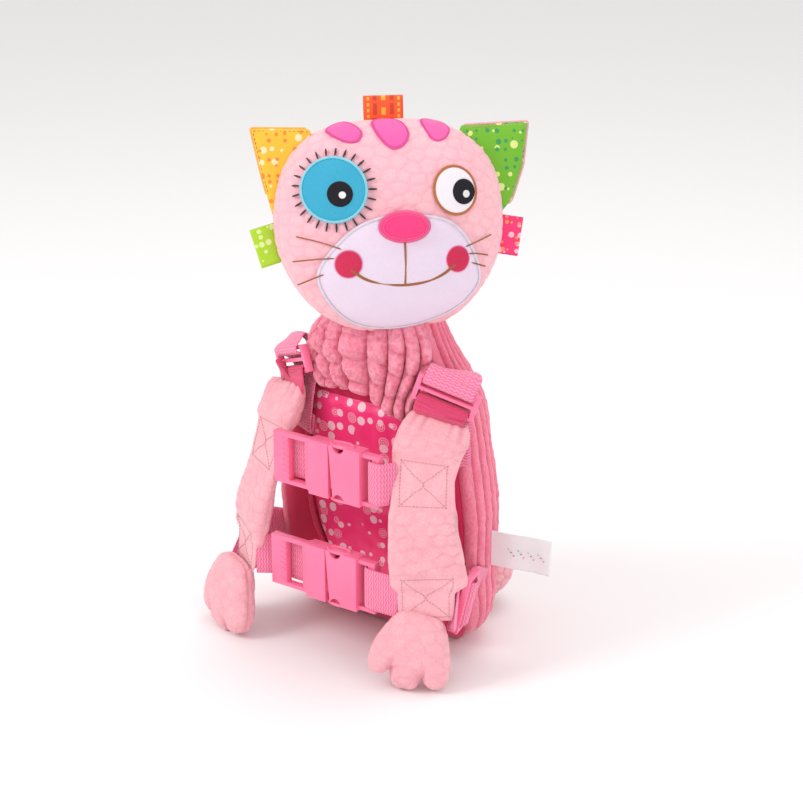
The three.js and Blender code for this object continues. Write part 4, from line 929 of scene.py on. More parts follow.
patch("pupil_right_patch", oval(.585, .285, 6.2, 6.8), 1.6, 0.9, ink_felt, "pupil_right", rings=10)
patch("glint_left", oval(-.435, .285, 1.9, 1.9, count=32), 2.5, 0.6, white_thread, rings=5)
patch("glint_right", oval(.60, .262, 1.8, 2.0, count=32), 2.4, 0.6, white_thread, rings=5)

# %% Mouth and whiskers
mouth = [(-.375, -.405), (-.27, -.485), (-.13, -.53), (.065, -.55), (.25, -.525), (.40, -.46), (.485, -.385)]
stitches("mouth_line", [face_path(in_mm(mouth), 3.0, samples=90)], brown_thread, 0.5, 1.8, 0.9, across=True)
stitches("lip_line", [face_path(in_mm([(.07, -.15), (.072, -.36), (.068, -.55)]), 3.0, samples=40)],
         brown_thread, 0.5, 1.4, 0.9, across=True)
WHISKERS = [[(-.81, -.09), (-.61, -.15), (-.42, -.23)], [(-.84, -.32), (-.64, -.30), (-.47, -.295)],
            [(-.80, -.535), (-.62, -.45), (-.46, -.40)], [(.557, -.24), (.68, -.19), (.82, -.127)],
            [(.583, -.295), (.68, -.295), (.79, -.315)], [(.542, -.345), (.65, -.38), (.767, -.42)]]
stitches("whiskers", [face_path(in_mm(w), 1.9, samples=30) for w in WHISKERS], brown_thread,
         0.55, 1.0, 0.6, across=True)

# %% [markdown]
# ## Ears and ribbon loops
# The ears are flat pads of printed cotton with a sewn edge, set in the seam of the head. The ribbon
# loops are short folded lengths of ribbon, each with its own pattern. The prints are plain dots and
# dashes worked out from the UV map.

# %% Printed cotton and ribbon finishes
def dotted(name, ground, dots, size=7.0, radius=0.24, ring=False, roughness=0.7):
    """dots is a list of colours, shared out over the cells of a loose grid in UV millimetres."""
    finish, tree, shader = start_finish(name, roughness, 0.15)
    coords = node(tree, "ShaderNodeUVMap", uv_map="cloth").outputs[0]
    colour = ground
    for layer, tint in enumerate(dots):
        cells = node(tree, "ShaderNodeTexVoronoi", voronoi_dimensions="2D")
        cells.inputs["Randomness"].default_value = 0.55
        cells.inputs["Scale"].default_value = 1 / (size * (1 - 0.30 * layer))
        shift = node(tree, "ShaderNodeVectorMath", operation="ADD")
        shift.inputs[1].default_value = (3.1 * layer, 5.3 * layer, 0)
        link(tree, coords, shift.inputs[0])
        link(tree, shift.outputs[0], cells.inputs["Vector"])
        hue = node(tree, "ShaderNodeSeparateColor")
        link(tree, cells.outputs["Color"], hue.inputs[0])
        reach = maths(tree, "MULTIPLY_ADD", hue.outputs[0], radius * 0.9, radius * 0.45)
        inside = maths(tree, "SUBTRACT", reach, cells.outputs["Distance"])
        sharp = maths(tree, "MAXIMUM", maths(tree, "MULTIPLY", inside, 40), 0.0)
        mask = maths(tree, "SMOOTH_MIN", sharp, 1.0, 0.1)
        chosen = maths(tree, "GREATER_THAN", hue.outputs[1], 0.35)
        if ring and layer % 2 == 0:
            waves = maths(tree, "SINE", maths(tree, "MULTIPLY", cells.outputs["Distance"], 54))
            mask = maths(tree, "MULTIPLY", mask, maths(tree, "GREATER_THAN", waves, -0.1))
        colour = blend_colours(tree, maths(tree, "MULTIPLY", mask, chosen), colour, tint)
    group = place_group(tree, pile, Tuft_Size=0.0006, Patch_Size=0.012)
    shading = maths(tree, "MULTIPLY", group.outputs["Patch"], 0.3)
    dye(tree, shader, blend_colours(tree, shading, colour, darker(ground, 0.78)), group.outputs["Height"],
        0.25, 0.0002)
    return finish


def banded(name, ground, bands):
    """Broken bands along a ribbon: colour, start and end across it, pitch and share along it, in mm."""
    finish, tree, shader = start_finish(name, 0.5, 0.15)
    coords = node(tree, "ShaderNodeUVMap", uv_map="cloth").outputs[0]
    split = node(tree, "ShaderNodeSeparateXYZ")
    link(tree, coords, split.inputs[0])
    colour = ground
    for tint, start, end, pitch, share in bands:
        over = maths(tree, "GREATER_THAN", split.outputs["Y"], start)
        below = maths(tree, "LESS_THAN", split.outputs["Y"], end)
        turn = maths(tree, "FRACT", maths(tree, "DIVIDE", split.outputs["X"], pitch))
        broken = maths(tree, "LESS_THAN", turn, share)
        mask = maths(tree, "MULTIPLY", maths(tree, "MULTIPLY", over, below), broken)
        colour = blend_colours(tree, mask, colour, tint)
    group = place_group(tree, weave, Row_Pitch=0.5, Yarn_Pitch=0.7)
    shading = maths(tree, "MULTIPLY", group.outputs["Height"], 0.35)
    dye(tree, shader, blend_colours(tree, shading, colour, darker(ground, 0.7)), group.outputs["Height"],
        0.35, 0.0002)
    return finish


# %% Each print's colours
yellow_cotton = dotted("yellow_cotton", (0.94, 0.52, 0.045), [(0.95, 0.80, 0.50), (0.90, 0.22, 0.05)],
                       size=6.5)
green_cotton = dotted("green_cotton", (0.17, 0.48, 0.03), [(0.80, 0.85, 0.30), (0.04, 0.30, 0.12)], size=7.5)
AMBER, RUST = (0.93, 0.50, 0.05), (0.62, 0.03, 0.004)
orange_ribbon = banded("orange_ribbon", (0.93, 0.10, 0.008), [
    (AMBER, 1.8, 3.2, 3.2, 0.55), (RUST, 5.2, 7.4, 8.0, 0.8), (AMBER, 9.8, 12.2, 8.0, 0.5),
    (RUST, 14.6, 16.8, 8.0, 0.8), (AMBER, 18.8, 20.2, 3.2, 0.55)])
lime_ribbon = dotted("lime_ribbon", (0.40, 0.66, 0.008), [(0.75, 0.88, 0.35)], size=4.2, radius=0.3,
                     roughness=0.4)
pink_ribbon = dotted("pink_ribbon", (0.90, 0.05, 0.20), [(0.95, 0.60, 0.70), (0.92, 0.35, 0.08)], size=5.2)
print("finishes:", len(bpy.data.materials))

# %% Ears with a sewn edge
SIGN = {"left": -1, "right": 1}
EAR_INNER = [(.66, .92), (.60, .70), (.80, .12), (.96, .02)]


def ear_piece(side_name, tip, finish, edge_thread, roll_thread):
    side = SIGN[side_name]
    bulge = [(1.10, .20), (1.20, .52)] if side > 0 else [(1.01, .13), (1.09, .50)]
    corners = in_mm([(tip, .94)] + EAR_INNER + bulge) * (side, 1)
    count, rings = 160, 14
    looped = np.vstack([corners, corners[:1]])
    reach = lengths_along(looped)
    where = np.linspace(0, reach[-1], count, endpoint=False)
    line = np.stack([np.interp(where, reach, looped[:, k]) for k in range(2)], -1)
    for _ in range(3):
        line = (np.roll(line, 1, 0) + 2 * line + np.roll(line, -1, 0)) / 4
    middle = line.mean(0)
    shares = 1 - np.linspace(0, 1, rings)[:-1] ** 1.6
    front, rear = [], []
    for share in shares:
        flat_ring = middle + (line - middle) * share
        swell = 3.3 * (1 - share ** 4) ** 0.5 + 0.25
        waves = smooth_noise(np.c_[flat_ring, np.zeros(count)], 12, 6) * 0.5
        front.append(np.c_[flat_ring[:, 0], -swell - waves, flat_ring[:, 1]])
        rear.append(np.c_[flat_ring[:, 0], swell - waves, flat_ring[:, 1]])
    sheets = np.array(rear[::-1] + front)
    tips = [[middle[0], depth, middle[1]] for depth in (3.4, -3.4)]
    points = np.concatenate([sheets.reshape(-1, 3), tips])
    flat = points[:, [0, 2]].copy()
    level = head_level(points)
    inside = level < 1.0
    points[inside] *= (np.maximum(level[inside], 0.2) ** (-1 / 2.4))[:, None] * 0.972
    made = mesh_piece(f"printed_{side_name}_ear", to_pack(points), tube_faces(len(sheets), count), finish,
                      flat=flat, painted_shade=np.zeros(len(points)))
    dress(made, "ear_" + side_name)
    rim = middle + (line - middle) * 0.93
    free = head_level(np.c_[rim, np.zeros(count)].take([0, 2, 1], axis=1)) > 1.16
    runs, current = [], []
    for number in range(2 * count):
        if free[number % count]:
            current.append(number % count)
        elif current:
            runs.append(current)
            current = []
    clear = max(runs, key=len)[:count]
    up = np.tile(np.array([0.0, -1.0, 0.0]) @ HEAD_TURN.T, (len(clear), 1))
    roll_line = middle + (line - middle) * 1.004
    for what, edge, depth, colour, sizes in (("stitch", rim, -1.9, edge_thread, (2.4, 1.8, 0.5)),
                                             ("roll", roll_line, -0.3, roll_thread, (0.9, 2.0, 1.7))):
        path = np.c_[edge[clear][:, 0], np.full(len(clear), depth), edge[clear][:, 1]]
        stitches(f"ear_{what}_{side_name}", [(to_pack(path), up, False)], colour, *sizes)


ear_piece("left", 1.17, yellow_cotton, orange_thread, yellow_thread)
ear_piece("right", 1.25, green_cotton, pink_thread, rose_thread)


# %% Ribbon loops
def ribbon_loop(name, node_name, x, z, direction, finish):
    turn = math.radians(direction)
    out_way = np.array([math.cos(turn), 0, math.sin(turn)])
    width_way = np.array([-math.sin(turn), 0, math.cos(turn)])
    base = np.array([x, 0, z])
    width, reach, root, bend = 22.0, 12.5, 6.0, 1.2
    round_end = reach - bend + bend * np.sin(np.linspace(0, 1, 6)[1:] * math.pi / 2)
    along = np.concatenate([np.linspace(-root, reach - bend, 16), round_end])
    gap = 0.45 + 0.65 * smoothstep(along, -2, 6)
    past = np.maximum(along - reach + bend, 0) / bend
    gap = gap * np.sqrt(np.maximum(1 - past ** 2, 0))
    section = np.array([*zip(along, -gap), *list(zip(along, gap))[-2::-1]])
    tangent = np.gradient(section, axis=0)
    normal = np.stack([tangent[:, 1], -tangent[:, 0]], -1)
    normal = normal / np.maximum(np.linalg.norm(normal, axis=1, keepdims=True), 1e-6)
    across = np.linspace(-width / 2, width / 2, 12)
    walls = []
    for offset in (0.25, -0.25):
        path = section + normal * offset
        walls.append(base + path[:, None, :1] * out_way + path[:, None, 1:] * np.array([0, 1, 0])
                     + across[None, :, None] * width_way)
    points = np.concatenate([walls[0].reshape(-1, 3), walls[1].reshape(-1, 3)])
    flat = np.tile(pairs_of(lengths_along(section), across + width / 2), (2, 1))
    made = mesh_piece(name, to_pack(points), slab_faces(len(section), len(across)), finish, flat=flat)
    dress(outward(made), node_name)


ribbon_loop("orange_ribbon_loop", "ribbon_loop_top", -1, 57.5, 90, orange_ribbon)
ribbon_loop("lime_ribbon_loop", "ribbon_loop_left", -62, -9, 196, lime_ribbon)
ribbon_loop("pink_ribbon_loop", "ribbon_loop_right", 62, -8, -10, pink_ribbon)

# %% [markdown]
# ## Padded straps with box stitching
# A strap is a flat tube of plush, quilted into cobbles and pulled flat where it is sewn to the webbing.
# It follows the same rows of sizes as its solid. The crossed boxes of thread hold the belts.

# %% The strap's curve
STRAP_REACH, STRAP_WIDTH, STRAP_THICKNESS = 60, 35, 11
STRAP = {"along": [0, .2, .4, .6, .8, 1], "out": [.95, .94, .99, 1.04, 1.10, 1.15],
         "fore": [.60, .80, .92, .99, 1.04, 1.09], "up": [.730, .632, .530, .428, .315, .195],
         "splay": [24, 24, 26, 30, 32, 32], "full": [.40, .95, .55, 1.0, 1.0, .40]}
STRAP_OUTSET = {"left": -5, "right": -1}


def strap_point(side, along):
    out = table_curve(STRAP, "out", along, "along") * STRAP_REACH + STRAP_OUTSET[side]
    return np.stack([SIGN[side] * out, -table_curve(STRAP, "fore", along, "along") * STRAP_REACH,
                     table_curve(STRAP, "up", along, "along") * BAG_HEIGHT], -1)


def strap_side(side, along):
    splay = np.radians(table_curve(STRAP, "splay", along, "along"))
    return np.stack([SIGN[side] * np.cos(splay), np.sin(splay), np.zeros_like(splay)], -1)


def frames(points, sides):
    """Tangent, sideways and outward directions along a strip."""
    tangent = unit(np.gradient(points, axis=0))
    sideways = unit(sides - tangent * (sides * tangent).sum(1, keepdims=True))
    return tangent, sideways, np.cross(tangent, sideways)


print("strap tops, mm:", {side: strap_point(side, 0.0).round(1).tolist() for side in SIGN})

# %% The padded strap
BELT_ALONG = {"chest": 0.34, "waist": 0.90}
STITCH_HALF, STRAP_RING, WIDE_POWER, THICK_POWER = 12.0, 72, 0.55, 0.62


def strap_piece(side):
    along = np.linspace(0, 1, 150)
    centre = strap_point(side, along)
    tangent, sideways, through = frames(centre, strap_side(side, along))
    forward = -np.sign(through[:, 1:2].mean())
    through = through * forward
    flow = lengths_along(centre)
    full = table_curve(STRAP, "full", along, "along") * STRAP_THICKNESS / 2
    boxed = np.zeros_like(along)
    for place in BELT_ALONG.values():
        at = np.interp(place, along, flow)
        boxed = np.maximum(boxed, smoothstep(STITCH_HALF + 5 - np.abs(flow - at), 0, 6))
    full = full * (1 - 0.52 * boxed)
    end_close = smoothstep(flow, 0, 4) * smoothstep(flow[-1] - flow, 0, 4)
    full = full * (0.35 + 0.65 * end_close)
    turn = np.linspace(0, math.tau, STRAP_RING, endpoint=False)
    c, s = np.cos(turn), np.sin(turn)
    wide = np.sign(c) * np.abs(c) ** WIDE_POWER
    thick = np.sign(s) * np.abs(s) ** THICK_POWER
    swell = np.interp(along, (0, .08, .22, .32, .42, .55, .72, .84, .87, 1),
                      (0, 2.2, 1.6, -.2, .2, 1.2, 2.6, 2.0, -1.6, -2.0))
    outer = np.interp(along, (.56, .66, .75, .80, .83, .85, .865, .88), (0, .8, 2.8, 4.0, 4.1, 3.2, 1.4, 0))
    full = full + np.interp(along, (0, .1, .25, .6, .84, .86, 1), (0, .8, .5, 1.0, 1.4, 0, 0))
    half = STRAP_WIDTH / 2 + swell - 1.4 * (1 - end_close)
    across = wide * half[:, None] + np.clip(wide, 0, 1) * outer[:, None]
    points = (centre[:, None] + sideways[:, None] * across[..., None]
              + through[:, None] * (thick[None, :, None] * full[:, None, None]))
    out = unit(sideways[:, None] * (wide[None, :, None] * 0.35) + through[:, None] * thick[None, :, None])
    spots = np.stack(np.broadcast_arrays(wide[None, :] * half[:, None], flow[:, None],
                                         np.sign(s)[None, :] * 40.0), -1)
    quilt = cobbles(spots, 10.5, stretch=(1, 1.25, 1), seed=8)
    soft = smooth_noise(spots, 17, 9)
    on_face = np.abs(thick)[None, :] ** 0.5
    plain = boxed[:, None]
    gathers = np.sin(wide * 21 + smooth_noise(np.c_[wide * 9, wide * 0, wide * 0], 3, 1) * 3)
    gathered = 1 - smoothstep(flow, 2, 20)[:, None]
    height = (quilt - 1) * 0.65 * (1 - plain) * (1 - gathered) * on_face
    height = height + soft * 1.9 * (1 - 0.6 * plain) + gathered * gathers[None, :] * 0.7 * on_face
    points = points + out * height[..., None]
    # Painted shade in the quilting grooves and in the folds of the gathers at the top.
    painted_shade = ((1 - quilt) * 0.2 * (1 - plain) * (1 - gathered)
              + gathered * np.clip(-gathers, 0, 1)[None, :] * 0.5).ravel()
    ends = [centre[:1] - tangent[:1] * 0.3, centre[-1:] + tangent[-1:] * 0.3]
    end_points = np.concatenate([points.reshape(-1, 3), *ends])
    made = mesh_piece("padded_strap_" + side, end_points, tube_faces(len(along), STRAP_RING), strap_plush,
                      painted_shade=np.concatenate([painted_shade, [0, 0]]))
    dress(outward(made), "strap_" + side)
    return points, through, flow, half, along


# %% Crossed boxes of thread, seated on the strap
def box_stitches(side, points, through, flow, half, along):
    """The thread's path is read off the strap's own grid, so that it lies in the plush."""
    paths = []
    for place in BELT_ALONG.values():
        at = np.interp(place, along, flow)
        low, high = at - STITCH_HALF, min(at + STITCH_HALF, flow[-1] - 2.5)
        corners = [(-13, low), (13, low), (13, high), (-13, high)]
        runs = [(corners[k], corners[(k + 1) % 4]) for k in range(4)]
        runs += [(corners[0], corners[2]), (corners[1], corners[3])]
        for start, end in runs:
            line = np.linspace(start, end, 40)
            row = np.interp(line[:, 1], flow, np.arange(len(flow)))
            share = np.clip(line[:, 0] / np.interp(line[:, 1], flow, half), -1, 1)
            column = np.arccos(np.sign(share) * np.abs(share) ** (1 / WIDE_POWER)) / math.tau * STRAP_RING
            r, k = np.minimum(row.astype(int), len(flow) - 2), column.astype(int)
            dr, dk = (row - r)[:, None], (column - k)[:, None]
            surface = ((points[r, k] * (1 - dk) + points[r, k + 1] * dk) * (1 - dr)
                       + (points[r + 1, k] * (1 - dk) + points[r + 1, k + 1] * dk) * dr)
            paths.append((surface + through[r] * 0.1, through[r], False))
    stitches("box_stitches_" + side, paths, grey_thread, 1.9, 1.75, 0.6)


for side in SIGN:
    box_stitches(side, *strap_piece(side))

# %% [markdown]
# ## Paws
# The paws are stuffed mittens. The outline is a smooth closed curve with toes, swelled to a rounded
# form, with soft grooves between the toes and a seam round the rim.

# %% Mitten form
PAW_WIDTH, PAW_LENGTH, PAW_THICKNESS = 47, 45, 19
PAW = [(0, 1), (.48, .96), (.68, .70), (.86, .25), (1, -.25), (.98, -.60), (.80, -.80), (.58, -.78),
       (.42, -.64), (.33, -.88), (.16, -1), (0, -1)]
PAW_PLACE = {"left": (-7, -20, (-73, -76)), "right": (-13, 27, (60, -77))}


def paw_piece(side):
    lean, splay, foot = PAW_PLACE[side]
    outline = np.array(PAW + [(-x, z) for x, z in PAW[-2:0:-1]], float)
    if side == "left":
        notch = smoothstep(-outline[:, 1], 0.5, 0.6) * np.exp(-((np.abs(outline[:, 0]) - 0.46) / 0.16) ** 2)
        outline[:, 1] -= 0.17 * notch
    looped = np.vstack([outline[-3:], outline, outline[:4]])
    steps = 20
    curve = route(np.c_[looped, np.zeros(len(looped))], steps * (len(looped) - 1) + 1)
    curve = curve[3 * steps:(3 + len(outline)) * steps, :2]
    spots, faces = icosphere(6)
    turn = (np.arctan2(spots[:, 0], spots[:, 2]) / math.tau) % 1
    reach = np.minimum(np.hypot(spots[:, 0], spots[:, 2]), 1) ** 0.85
    keys = np.linspace(0, 1, len(curve) + 1)
    closed = np.vstack([curve, curve[:1]])
    across = np.interp(turn, keys, closed[:, 0]) * reach
    up = np.interp(turn, keys, closed[:, 1]) * reach
    on_toes = smoothstep(-up, 0.05, 0.6)
    between_toes = np.exp(-((np.abs(across) - 0.40) / 0.09) ** 2)
    groove = 1 - {"left": 0.15, "right": 0.45}[side] * on_toes * between_toes
    depth = np.sign(spots[:, 1]) * np.abs(spots[:, 1]) ** 0.7 * groove
    local = np.stack([across * PAW_WIDTH / 2, depth * PAW_THICKNESS / 2, up * PAW_LENGTH / 2], -1)
    quilt = cobbles(local, 11.5, stretch=(1, 1, 1.25), seed=12)
    soft = smooth_noise(local, 14, 3)
    rim = np.exp(-(local[:, 1] / 0.8) ** 2)
    local = local + unit(local / (PAW_WIDTH, PAW_THICKNESS, PAW_LENGTH)) * (
        (quilt - 1) * 0.4 + soft * 0.9 - rim * 0.6)[:, None]
    place = (Matrix.Rotation(math.radians(splay), 4, "Z") @ Matrix.Rotation(math.radians(-9), 4, "X")
             @ Matrix.Rotation(math.radians(-lean), 4, "Y") @ Matrix.Translation((0, 0, PAW_LENGTH / 2)))
    points = local @ np.array(place.to_3x3()).T + np.array(place.translation)
    points += (foot[0], foot[1], -points[:, 2].min() + 0.1)
    # Painted shade in the quilting grooves, the rim seam and between the toes.
    painted_shade = (1 - quilt) * 0.14 + rim * 0.45 + (1 - groove) * 0.6
    made = mesh_piece("mitten_" + side, points, faces, strap_plush, painted_shade=painted_shade)
    dress(outward(made), "paw_" + side)


for side in SIGN:
    paw_piece(side)

# %% [markdown]
# ## Webbing
# Each length of webbing is a thin strip along a curve, with a rounded edge and a UV map in millimetres
# for its weave. The routes through the locks and buckles are those of the solids.

# %% A strip of webbing
def webbing_piece(name, node_name, points, sides, width, thickness, finish, samples):
    """sides is the way across the strip, or a function that gives it for each share of the route."""
    centre = route(points, samples)
    share = np.linspace(0, 1, samples)
    ways = [sides(value) if callable(sides) else sides for value in share]
    tangent, sideways, through = frames(centre, unit(ways))
    for _ in range(3):
        through[1:-1] = unit(through[:-2] + 2 * through[1:-1] + through[2:])
    flow = lengths_along(centre)
    across = np.linspace(-1, 1, 26)
    edge = np.sqrt(np.clip(1 - np.abs(across) ** 14, 0.02, 1))
    middle = centre[:, None] + sideways[:, None] * (across * width / 2)[None, :, None]
    rise = through[:, None] * (edge * thickness / 2)[None, :, None]
    sheets = np.concatenate([(middle + rise).reshape(-1, 3), (middle - rise).reshape(-1, 3)])
    flat = np.tile(pairs_of(flow, across * width / 2), (2, 1))
    made = mesh_piece(name, sheets, slab_faces(samples, len(across)), finish, flat=flat)
    return dress(outward(made), node_name), flow[-1]


# %% Routes through the four locks
LOCK_HEIGHT, LOCK_THICKNESS, LOCK_BAR, LOCK_SLOT_MIDDLE, OVER_LOCK = 16, 4, 2.0, 3.5, 3.35
WEBBING_THICKNESS, BELT_WIDTH, SHOULDER_WIDTH = 1.4, 25, 30


def frame_at(middle, x_way, z_way):
    x = unit(x_way)
    y = unit(np.cross(z_way, x))
    return np.stack([x, y, np.cross(x, y)], -1), np.asarray(middle, float)


def within(frame_pair, *local):
    return frame_pair[0] @ np.array(local, float) + frame_pair[1]


LENGTHS = {}
for side, sign in SIGN.items():
    strap_top, top_side = strap_point(side, 0.0), strap_side(side, 0.0)
    offset = np.array([sign * {"left": -4, "right": 4}[side], 0, 12.5])
    x_way = np.array([top_side[0], top_side[1], -0.35]) * sign
    high = frame_at(strap_top + offset, x_way, (0, -0.10, 1))
    lock_way = high[0][:, 0]
    low_bar = -(LOCK_HEIGHT - LOCK_BAR) / 2
    start = strap_top + (strap_point(side, 0.2) - strap_top) * 0.1
    start[0] = strap_top[0] + offset[0] * 0.2
    top_route = [start, within(high, 0, -OVER_LOCK - .6, low_bar - 3), within(high, 0, -OVER_LOCK, low_bar),
                 within(high, 0, -LOCK_THICKNESS / 2 - .2, low_bar + 2.4), within(high, 0, 0, low_bar + 3),
                 within(high, 0, LOCK_THICKNESS / 2 + .2, low_bar + 2.4), within(high, 0, OVER_LOCK, low_bar),
                 within(high, 0, OVER_LOCK, low_bar - 2.5)]
    _, LENGTHS["top_" + side] = webbing_piece(
        "strap_top_strip_" + side, "strap_top_webbing_" + side, top_route, lock_way, SHOULDER_WIDTH,
        WEBBING_THICKNESS, deep_webbing, 90)

    def hanging(behind, drop):
        return within(high, 0, OVER_LOCK + behind, -5) + (0, 0, -drop)

    anchor = bag_point({"left": .81, "right": .83}[side], math.radians(-8 if sign > 0 else -172), 3)
    top_bar = (LOCK_HEIGHT - LOCK_BAR) / 2
    seam_way = np.array([0.4, sign * 0.9, -0.2 * sign])
    level_way = lock_way * (1, 1, 0)

    def shoulder_side(share):
        way = seam_way + (lock_way - seam_way) * smoothstep(share, 0, 0.17)
        return way + (level_way - way) * smoothstep(share, 0.55, 0.75)

    shoulder_route = [anchor, within(high, 0, OVER_LOCK + 4, top_bar + 6), within(high, 0, 0, top_bar + 3.2),
                      within(high, 0, -OVER_LOCK, top_bar + .6), within(high, 0, -OVER_LOCK, top_bar - 1.6),
                      within(high, 0, -LOCK_THICKNESS / 2, LOCK_SLOT_MIDDLE + .6),
                      within(high, 0, LOCK_THICKNESS / 2, LOCK_SLOT_MIDDLE - .6),
                      within(high, 0, OVER_LOCK + 1.4, 0.3), within(high, 0, OVER_LOCK + 2.8, -5),
                      hanging(0, 18), hanging(-1.8, 34), hanging(-.8, 36.5), hanging(.1, 34), hanging(.9, 26)]
    _, LENGTHS["shoulder_" + side] = webbing_piece(
        "shoulder_strip_" + side, "shoulder_webbing_" + side, shoulder_route, shoulder_side, SHOULDER_WIDTH,
        WEBBING_THICKNESS, pink_webbing, 220)

    low_at = 0.92
    low_side = strap_side(side, low_at)
    strap_edge = strap_point(side, low_at) + low_side * STRAP_WIDTH / 2
    bag_edge = bag_point(0.18, math.radians(2 if sign > 0 else 178), 3)
    back_way = bag_edge - strap_edge
    low = frame_at(strap_edge + back_way * 0.30 + (sign, 0, 0), (sign * 0.25, 0, 0.97), back_way)
    outwards = 1 if low[0][0, 1] * sign > 0 else -1

    def in_low(out, z):
        return within(low, 0, outwards * out, z)

    low_route = [strap_edge, in_low(-OVER_LOCK - .4, -LOCK_HEIGHT / 2),
                 in_low(-OVER_LOCK, -LOCK_SLOT_MIDDLE - 1.4), in_low(1.2, -LOCK_SLOT_MIDDLE - .1),
                 in_low(OVER_LOCK + .2, -1.6), in_low(OVER_LOCK + .2, 1.6),
                 in_low(1.2, LOCK_SLOT_MIDDLE + .1), in_low(-OVER_LOCK, LOCK_SLOT_MIDDLE + 1.4),
                 in_low(-OVER_LOCK - .2, LOCK_HEIGHT / 2 + 1), bag_edge]
    _, LENGTHS["lower_" + side] = webbing_piece(
        "lower_strip_" + side, "lower_webbing_" + side, low_route, low[0][:, 0], SHOULDER_WIDTH,
        WEBBING_THICKNESS, pink_webbing, 160)
print("locks threaded:", len(LENGTHS))

# %% Belt webbing
BUCKLE_HEIGHT, BUCKLE_FRAME = 33, 4.6
MALE_START, MALE_END, FEMALE_START, FEMALE_END = -37.5, 3.5, 3.8, 37.5
TOOTH_BAR, HOOD, END_BAR = 11, 14, 4.7
BELT_FORE = {"chest": 65, "waist": 69}
BELT_MIDDLE = {}
for belt, fore in BELT_FORE.items():
    along = BELT_ALONG[belt]
    middle = np.array([-1, -fore, strap_point("right", along)[2]])
    BELT_MIDDLE[belt] = middle
    behind = BUCKLE_FRAME / 2 + 0.3 + WEBBING_THICKNESS / 2 + 0.3

    def local(x, y):
        return middle + (x, y, 0)

    def strap_inner(side):
        return strap_point(side, along) + strap_side(side, along) * (-STRAP_WIDTH / 2 + 2)

    left_route = [strap_inner("left"), local(MALE_START + 1, behind),
                  local(MALE_START + TOOTH_BAR + 2, behind), local(MALE_END - HOOD - 2, behind)]
    bar = FEMALE_END - END_BAR
    right_route = [strap_inner("right"), local(FEMALE_END + 1.5, -behind), local(bar + 1, -behind),
                   local(bar - 1.6, -behind + 1.2), local(bar - 2.2, 0), local(bar - 1.6, behind - 1.2),
                   local(bar + 1, behind), local(FEMALE_END - .5, behind)]
    for side, path, samples in (("left", left_route, 80), ("right", right_route, 150)):
        _, LENGTHS[belt + "_" + side] = webbing_piece(
            belt + "_strip_" + side, belt + "_webbing_" + side, path, np.array([0.0, 0.0, 1.0]), BELT_WIDTH,
            WEBBING_THICKNESS, pink_webbing, samples)
print("webbing lengths, mm:", {name: round(value) for name, value in LENGTHS.items()})

# %% [markdown]
# ## Plastic parts
# The buckles and locks keep the exact shape of their solids, because the webbing runs through them.
# Moulded plastic has no knife edges, so each one is a copy whose flat faces are merged and whose edges
# are rounded. The tips of the spring arms are added at the top and bottom of each female half.

# %% Rounded copies of the plastic solids
def free_mesh(name, work, finish):
    """Turns a bmesh in metres into an object."""
    mesh = bpy.data.meshes.new(name)
    work.to_mesh(mesh)
    work.free()
    mesh.materials.append(finish)
    mesh.polygons.foreach_set("use_smooth", [True] * len(mesh.polygons))
    made = bpy.data.objects.new(name, mesh)
    bpy.context.scene.collection.objects.link(made)
    return made


def rounded_copy(name, node_name, width, finish):
    work = bmesh.new()
    work.from_mesh(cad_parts[node_name].data)
    bmesh.ops.remove_doubles(work, verts=work.verts, dist=2e-6)
    bmesh.ops.dissolve_limit(work, angle_limit=math.radians(1.5), verts=work.verts, edges=work.edges)
    sharp = [edge for edge in work.edges
             if len(edge.link_faces) == 2 and edge.calc_face_angle(0) > math.radians(28)]
    bmesh.ops.bevel(work, geom=sharp, offset=width * MM, segments=3, profile=0.5, affect="EDGES",
                    clamp_overlap=True)
    bmesh.ops.triangulate(work, faces=work.faces)
    made = free_mesh(name, work, finish)
    made.data.set_sharp_from_angle(angle=math.radians(34))
    dress(made, node_name)


for belt in BELT_FORE:
    rounded_copy(belt + "_male_half", belt + "_buckle_male", 0.55, pink_plastic)
    rounded_copy(belt + "_female_half", belt + "_buckle_female", 0.7, pink_plastic)


# %% The tips of the spring arms
def latch_tabs(belt):
    """The ends of the two spring arms, each with a rim round its opening in the female half."""
    x, y, z = BELT_MIDDLE[belt] + (FEMALE_START + 7, 0, 0)
    work = bmesh.new()
    for way in (-1, 1):
        ball = bmesh.ops.create_icosphere(work, subdivisions=4, radius=1)
        for vert in ball["verts"]:
            spot = np.array(vert.co[:])
            spot = np.sign(spot) * np.abs(spot) ** 0.75
            tab_z = z + way * (BUCKLE_HEIGHT / 2 - 0.9) + spot[2] * 1.5
            vert.co = Vector((x + spot[0] * 5.2, y + spot[1] * 2.2, tab_z)) * MM
        turns, sides, ring = 56, 10, []
        for turn in np.linspace(0, math.tau, turns, endpoint=False):
            for bend in np.linspace(0, math.tau, sides, endpoint=False):
                ring.append(work.verts.new(Vector((
                    x + math.cos(turn) * (7.6 + math.cos(bend)), y + math.sin(turn) * (3.6 + math.cos(bend)),
                    z + way * (BUCKLE_HEIGHT / 2 - 0.2) + math.sin(bend))) * MM))
        for a in range(turns):
            for b in range(sides):
                this, after, next_b = a * sides, (a + 1) % turns * sides, (b + 1) % sides
                work.faces.new([ring[this + b], ring[after + b], ring[after + next_b], ring[this + next_b]])
    bmesh.ops.recalc_face_normals(work, faces=work.faces)
    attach(free_mesh(belt + "_latch_tabs", work, pink_plastic), "root")


for belt in BELT_FORE:
    latch_tabs(belt)
for side in SIGN:
    for place in ("shoulder", "lower"):
        rounded_copy(place + "_lock_" + side, place + "_ladder_lock_" + side, 0.5, pink_plastic)

